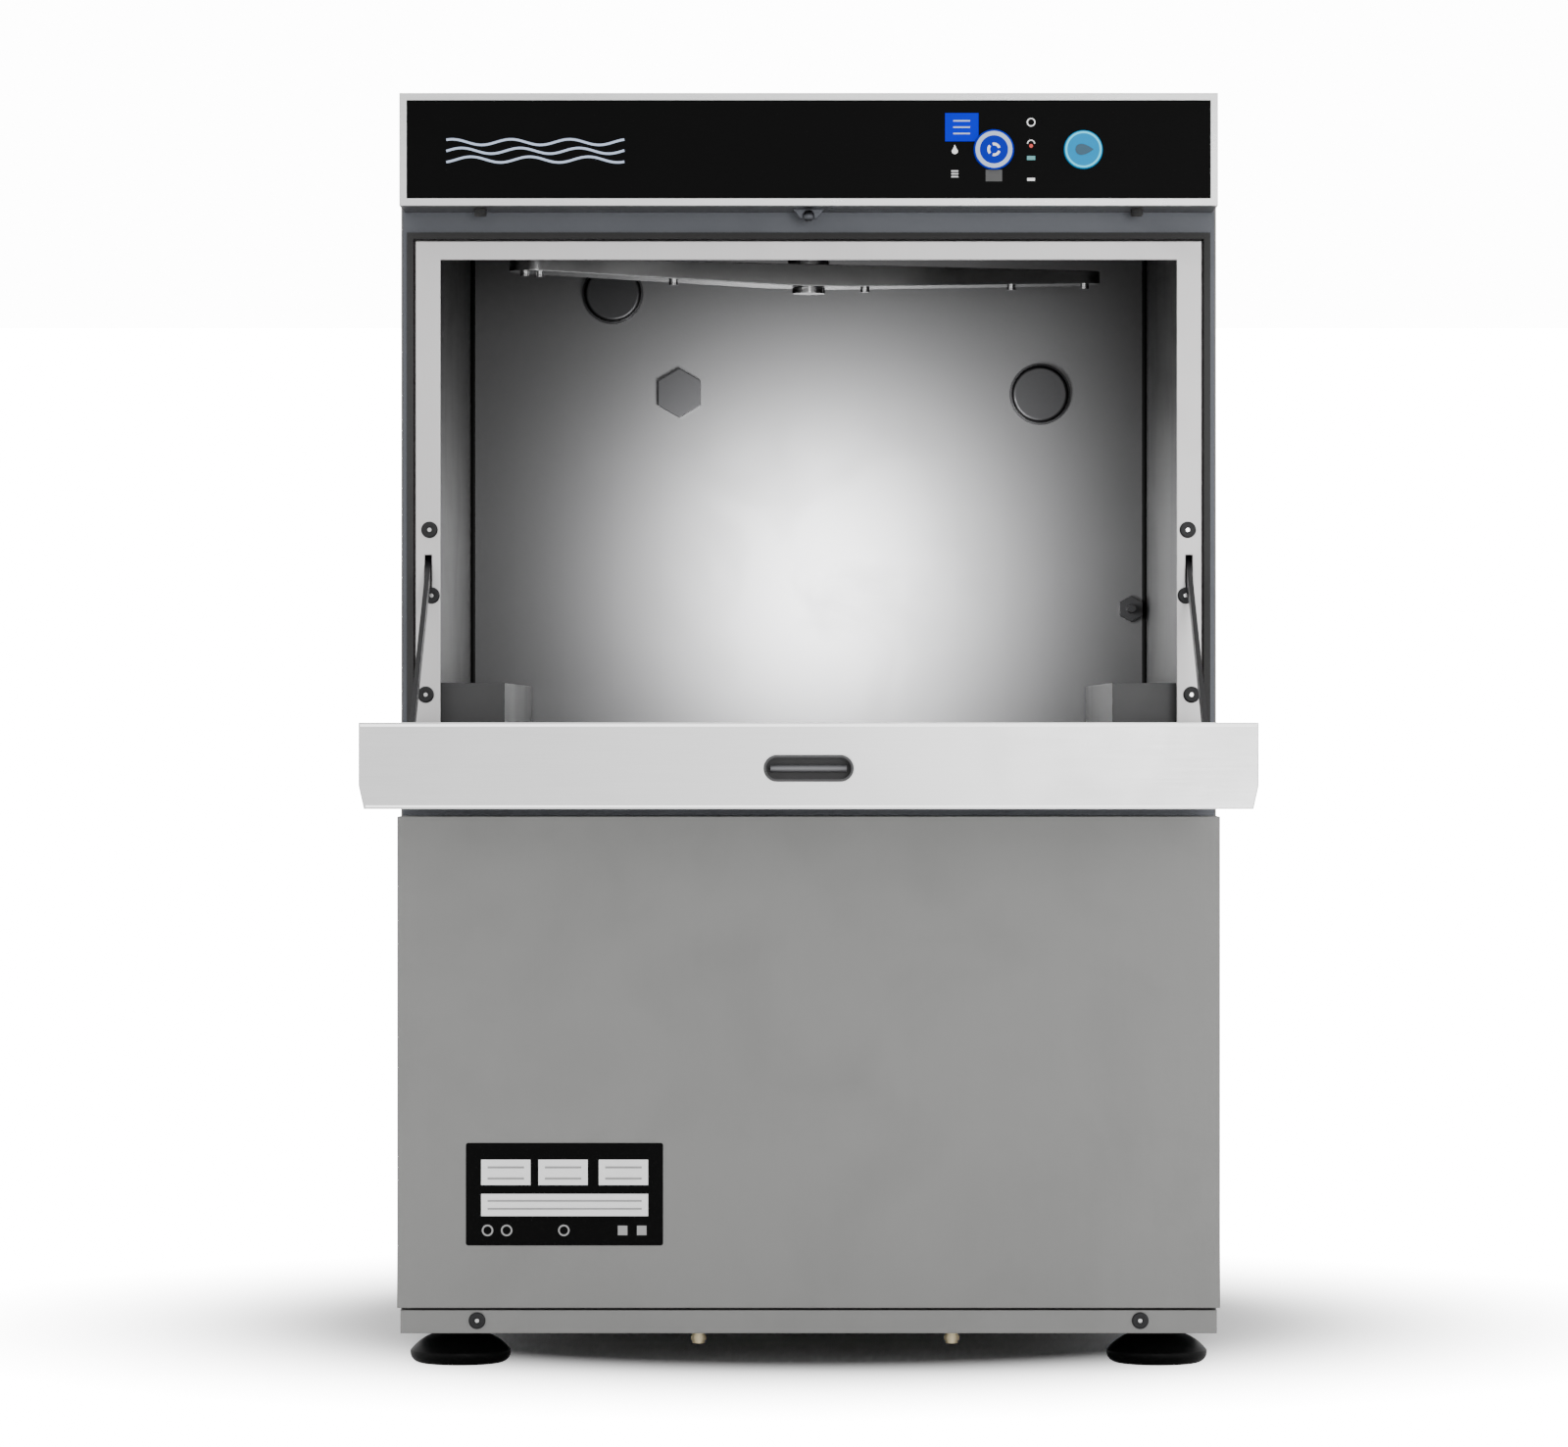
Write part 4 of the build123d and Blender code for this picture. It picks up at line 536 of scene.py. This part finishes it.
# %% Control panel symbols
overlay_low, overlay_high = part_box("control_overlay")
overlay_y = overlay_low[1] - INK
mark_x = np.linspace(-228, -116, 60) * MM
waves = [
    ribbon(mark_x, (764 + 5.5 * row + 1.8 * np.sin(mark_x * 170 + row)) * MM, 1.5 * MM, overlay_y)
    for row in range(3)
]
printed("wave_mark", waves, silver_ink, "root")
pale = [
    drop(92 * MM, 769.5 * MM, 2.0 * MM, overlay_y),
    ring(140 * MM, 787.5 * MM, 2.0 * MM, 2.7 * MM, overlay_y),
    ring(140 * MM, 774 * MM, 1.9 * MM, 2.5 * MM, overlay_y, 0.0, pi),
    ribbon(np.array([137.6, 142.4]) * MM, np.array([751.5, 751.5]) * MM, 1.8 * MM, overlay_y),
]
for row in range(3):
    height = (753.2 + 1.8 * row) * MM
    pale.append(ribbon(np.array([89.8, 94.2]) * MM, np.array([height, height]), 0.7 * MM, overlay_y))
printed("pale_symbols", pale, white_ink, "root")
red_dot = ring(140 * MM, 772.6 * MM, 0.0, 1.2 * MM, overlay_y - INK)
printed("red_symbol", [red_dot], red_ink, "root")
teal_bar = ribbon(np.array([137.4, 142.6]) * MM, np.array([765, 765]) * MM, 2.6 * MM, overlay_y)
printed("teal_symbol", [teal_bar], teal_ink, "root")
label = ribbon(np.array([111.4, 121.8]) * MM, np.array([754, 754]) * MM, 7.4 * MM, overlay_y)
printed("button_label", [label], label_ink, "root")
display_low, display_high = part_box("display_window")
digit_y = display_low[1] - INK
digits = [
    ribbon(np.array([91.0, 101.6]) * MM, np.array([height, height]) * MM, 0.9 * MM, digit_y)
    for height in (780.4, 784.4, 788.4)
]
printed("display_bars", digits, silver_ink, "root")
print("panel symbols at y", overlay_y)

# %% Button faces


def button_middle(node):
    """Middle x and z of a button, and the y of its ink."""
    low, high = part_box(node)
    return (low[0] + high[0]) / 2, (low[2] + high[2]) / 2, low[1] - INK


x, z, y = button_middle("select_button")
select_ring = ring(x, z, 8.9 * MM, 11.6 * MM, y)
printed("select_ring", [select_ring], silver_ink, "select_button")
select_arcs = [ring(x, z, 2.6 * MM, 4.2 * MM, y, 0.3 + part * 2 * pi / 3, 1.5) for part in range(3)]
printed("select_symbol", select_arcs, white_ink, "select_button")
x, z, y = button_middle("start_button")
ARROW_BACK = -5.2
ARROW_TIP = 6.4
ARROW_HEIGHT = 9.2
STEPS = 24
along_arrow = np.linspace(ARROW_BACK, ARROW_TIP, STEPS)
part = (along_arrow - ARROW_BACK) / (ARROW_TIP - ARROW_BACK)
half_height = ARROW_HEIGHT * np.sqrt(np.clip(part, 0, 1)) * (1 - part)
arrow = np.stack([
    np.stack([x + along_arrow * MM, np.full(STEPS, y), z + side * half_height * MM], axis=-1)
    for side in (-1, 1)
])
printed("start_arrow", [arrow], dark_ink, "start_button")
start_ring = ring(x, z, 10.2 * MM, 11.4 * MM, y)
printed("start_ring", [start_ring], pale_cyan_ink, "start_button")
print("button faces ready")

# %% [markdown]
# ## Data plate
# The plate has three pale boxes, a pale bar and a row of five plain shapes, and no writing.

# %% Data plate
plate_low, plate_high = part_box("data_plate")
plate_y = plate_low[1] - INK


def bar(left, right, bottom, top, y):
    """Rectangle from its four sides in millimetres, as a ribbon along its middle line."""
    middle = (bottom + top) / 2 * MM
    return ribbon(np.array([left, right]) * MM, np.array([middle, middle]), (top - bottom) * MM, y)


boxes = [bar(left, left + 31, 118.5, 134.5, plate_y) for left in (-206, -170, -132)]
boxes.append(bar(-206, -101, 99, 113, plate_y))
printed("plate_boxes", boxes, white_ink, "root")
lines = [
    bar(left + 4, left + 27, z, z + 1.3, plate_y - INK) for left in (-206, -170, -132) for z in (122, 129)
]
lines += [bar(-202, -105, z, z + 1.2, plate_y - INK) for z in (103, 108)]
printed("plate_rules", lines, grey_ink, "root")
marks = [ring(x * MM, 90 * MM, 2.6 * MM, 3.6 * MM, plate_y) for x in (-202, -190, -154)]
marks += [bar(x - 3, x + 3, 87, 93, plate_y) for x in (-117, -105)]
printed("plate_marks", marks, grey_ink, "root")
print("data plate symbols at y", plate_y)

# %% [markdown]
# ## Screws and folded edges
# A worn screw socket shines at its middle. The door's free edge is folded sheet, and its two folds
# get painted highlights: thin glowing bars, brighter than the flat between them.

# %% Screw middles and door folds
screws = frame["nodes"]["panel_screws"]
corners_now = np.array([screws.matrix_world @ corner.co for corner in screws.data.vertices])
cells = {}
for corner in corners_now:
    near = [key for key in cells if abs(key[0] - corner[0]) < 0.012 and abs(key[1] - corner[2]) < 0.012]
    cells.setdefault(near[0] if near else (corner[0], corner[2]), []).append(corner)
shines = []
for found in cells.values():
    found = np.array(found)
    middle = (found.max(axis=0) + found.min(axis=0)) / 2
    shines.append(ring(middle[0], middle[2], 0.0, 1.3 * MM, found[:, 1].min() + 0.6 * MM))
printed("screw_shines", shines, bright_steel, "root")
door_low, door_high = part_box("door_outer_skin")
fold_y = door_low[1] - INK
top_fold, low_fold = door_high[2] / MM - 1.7, door_low[2] / MM + 1.6
# Painted highlights: glowing bars along the door edge's top and bottom folds.
folds = [
    bar(door_low[0] / MM + 0.8, door_high[0] / MM - 0.8, top_fold - 0.7, top_fold + 0.7, fold_y),
    bar(door_low[0] / MM + 4.0, door_high[0] / MM - 4.0, low_fold - 0.6, low_fold + 0.6, fold_y),
]
printed("door_fold_highlights", folds, painted_fold_highlight, "door")
print("screw middles", len(shines))

# %% [markdown]
# ## Chamber corners
# The chamber is welded from folded sheet, so its upright back corners are round. Each is a quarter
# of a small tube, with its middle one radius in from both walls. The tubes are near black: painted
# shade in the creases.

# %% Chamber corners
CORNER = 3.0 * MM
CHAMBER_SHEET = 1.2 * MM
END_GAP = 4.0 * MM
chamber = frame["nodes"]["wash_chamber"]
chamber_points = np.array([chamber.matrix_world @ point.co for point in chamber.data.vertices])
back_points = chamber_points[chamber_points[:, 1] > back_wall_y - 5 * MM]
wall_reach = np.abs(back_points[:, 0]).max() - CHAMBER_SHEET
for side, name in ((-1, "corner_left"), (1, "corner_right")):
    wall_x = side * wall_reach
    turn = np.linspace(0, pi / 2, 9)
    height = np.linspace(chamber_low[2] + END_GAP, chamber_high[2] - END_GAP, 3)
    corner_x = wall_x - side * CORNER + side * CORNER * np.cos(turn)
    corner_y = back_wall_y - CHAMBER_SHEET - CORNER + CORNER * np.sin(turn)
    rows = np.stack([
        np.broadcast_to(corner_x, (3, 9)), np.broadcast_to(corner_y, (3, 9)),
        np.broadcast_to(height[:, None], (3, 9)),
    ], axis=-1)
    printed(name, [rows], corner_shade_steel, "root")
print("chamber walls at", wall_reach, "corner radius", CORNER)

# %% [markdown]
# ## Stay springs
# A tension spring pulls on the tail of each stay arm and balances the door. The wire follows a
# helix: it goes round the spring's axis once for each coil while it moves along it. The springs
# shorten as the door shuts; here each is drawn as it stands with the door down and stays put.

# %% Where the springs run


def yz(point):
    """The y and z of a point as an array."""
    return np.array([point[1], point[2]])


hinge = yz(joints["door_hinge"]["pos_m"])
pin = yz(joints["stay_arm_left_pivot"]["pos_m"])
slot_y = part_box("front_frame")[0][1]
arm = pin - hinge
slot = np.array([slot_y, hinge[1] + np.sqrt(arm @ arm - (slot_y - hinge[0]) ** 2)])
shut_pin = hinge + np.array([arm[1], -arm[0]])
PAST_SLOT = 7.0 * MM
SHUT_LENGTH = 190.0 * MM
reach = np.linalg.norm(slot - pin) + PAST_SLOT
stop_open = pin + (slot - pin) / np.linalg.norm(slot - pin) * reach
stop_shut = shut_pin + (slot - shut_pin) / np.linalg.norm(slot - shut_pin) * reach
pull = (stop_shut - stop_open) / np.linalg.norm(stop_shut - stop_open)
anchor = stop_shut + pull * SHUT_LENGTH
open_length = np.linalg.norm(anchor - stop_open)
print("spring open", open_length, "shut", SHUT_LENGTH)

# %% Coil the springs
COILS = 30
COIL_RADIUS = 3.9 * MM
WIRE = 0.9 * MM
HOOK = 18.0 * MM


def coil_line(x):
    """Line of the wire: it starts on the axis, swells to the coil's radius, and ends on the axis."""
    part = np.linspace(0, 1, COILS * 12)
    distance = part * open_length
    swell = np.clip(np.minimum(distance, open_length - distance) / HOOK, 0, 1)
    turn = part * COILS * 2 * pi
    out = COIL_RADIUS * swell
    up = np.array([-pull[1], pull[0]])
    line = stop_open + distance[:, None] * pull + (out * np.cos(turn))[:, None] * up
    return np.stack([x + out * np.sin(turn), line[:, 0], line[:, 1]], axis=-1)


def wire_tube(line, radius, sides=6):
    """Tube round a line: a small circle set square to the line at every point."""
    ahead = np.gradient(line, axis=0)
    ahead /= np.linalg.norm(ahead, axis=1, keepdims=True)
    first = np.cross(ahead, [1.0, 0.3, 0.2])
    first /= np.linalg.norm(first, axis=1, keepdims=True)
    second = np.cross(ahead, first)
    angle = np.linspace(0, 2 * pi, sides, endpoint=False)
    return (line[:, None] + radius * (
        np.cos(angle)[None, :, None] * first[:, None] + np.sin(angle)[None, :, None] * second[:, None]))


SLEEVE_RADIUS = 6.0 * MM
spring_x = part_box("stay_springs")[1][0] - SLEEVE_RADIUS
corners, faces = [], []
for side in (-1, 1):
    tube = wire_tube(coil_line(side * spring_x), WIRE)
    mesh = grid_mesh("coil", tube, close_v=True)
    faces += [[corner + len(corners) for corner in face.vertices] for face in mesh.polygons]
    corners += [list(vertex.co) for vertex in mesh.vertices]
    bpy.data.meshes.remove(mesh)
spring_mesh = bpy.data.meshes.new("tension_springs")
spring_mesh.from_pydata(corners, [], faces)
tension_springs = add_object("tension_springs", spring_mesh, bright_steel)
for face in spring_mesh.polygons:
    face.use_smooth = True
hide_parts("stay_springs")
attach(tension_springs, "root")
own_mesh(tension_springs)
print("springs", len(faces), "faces")
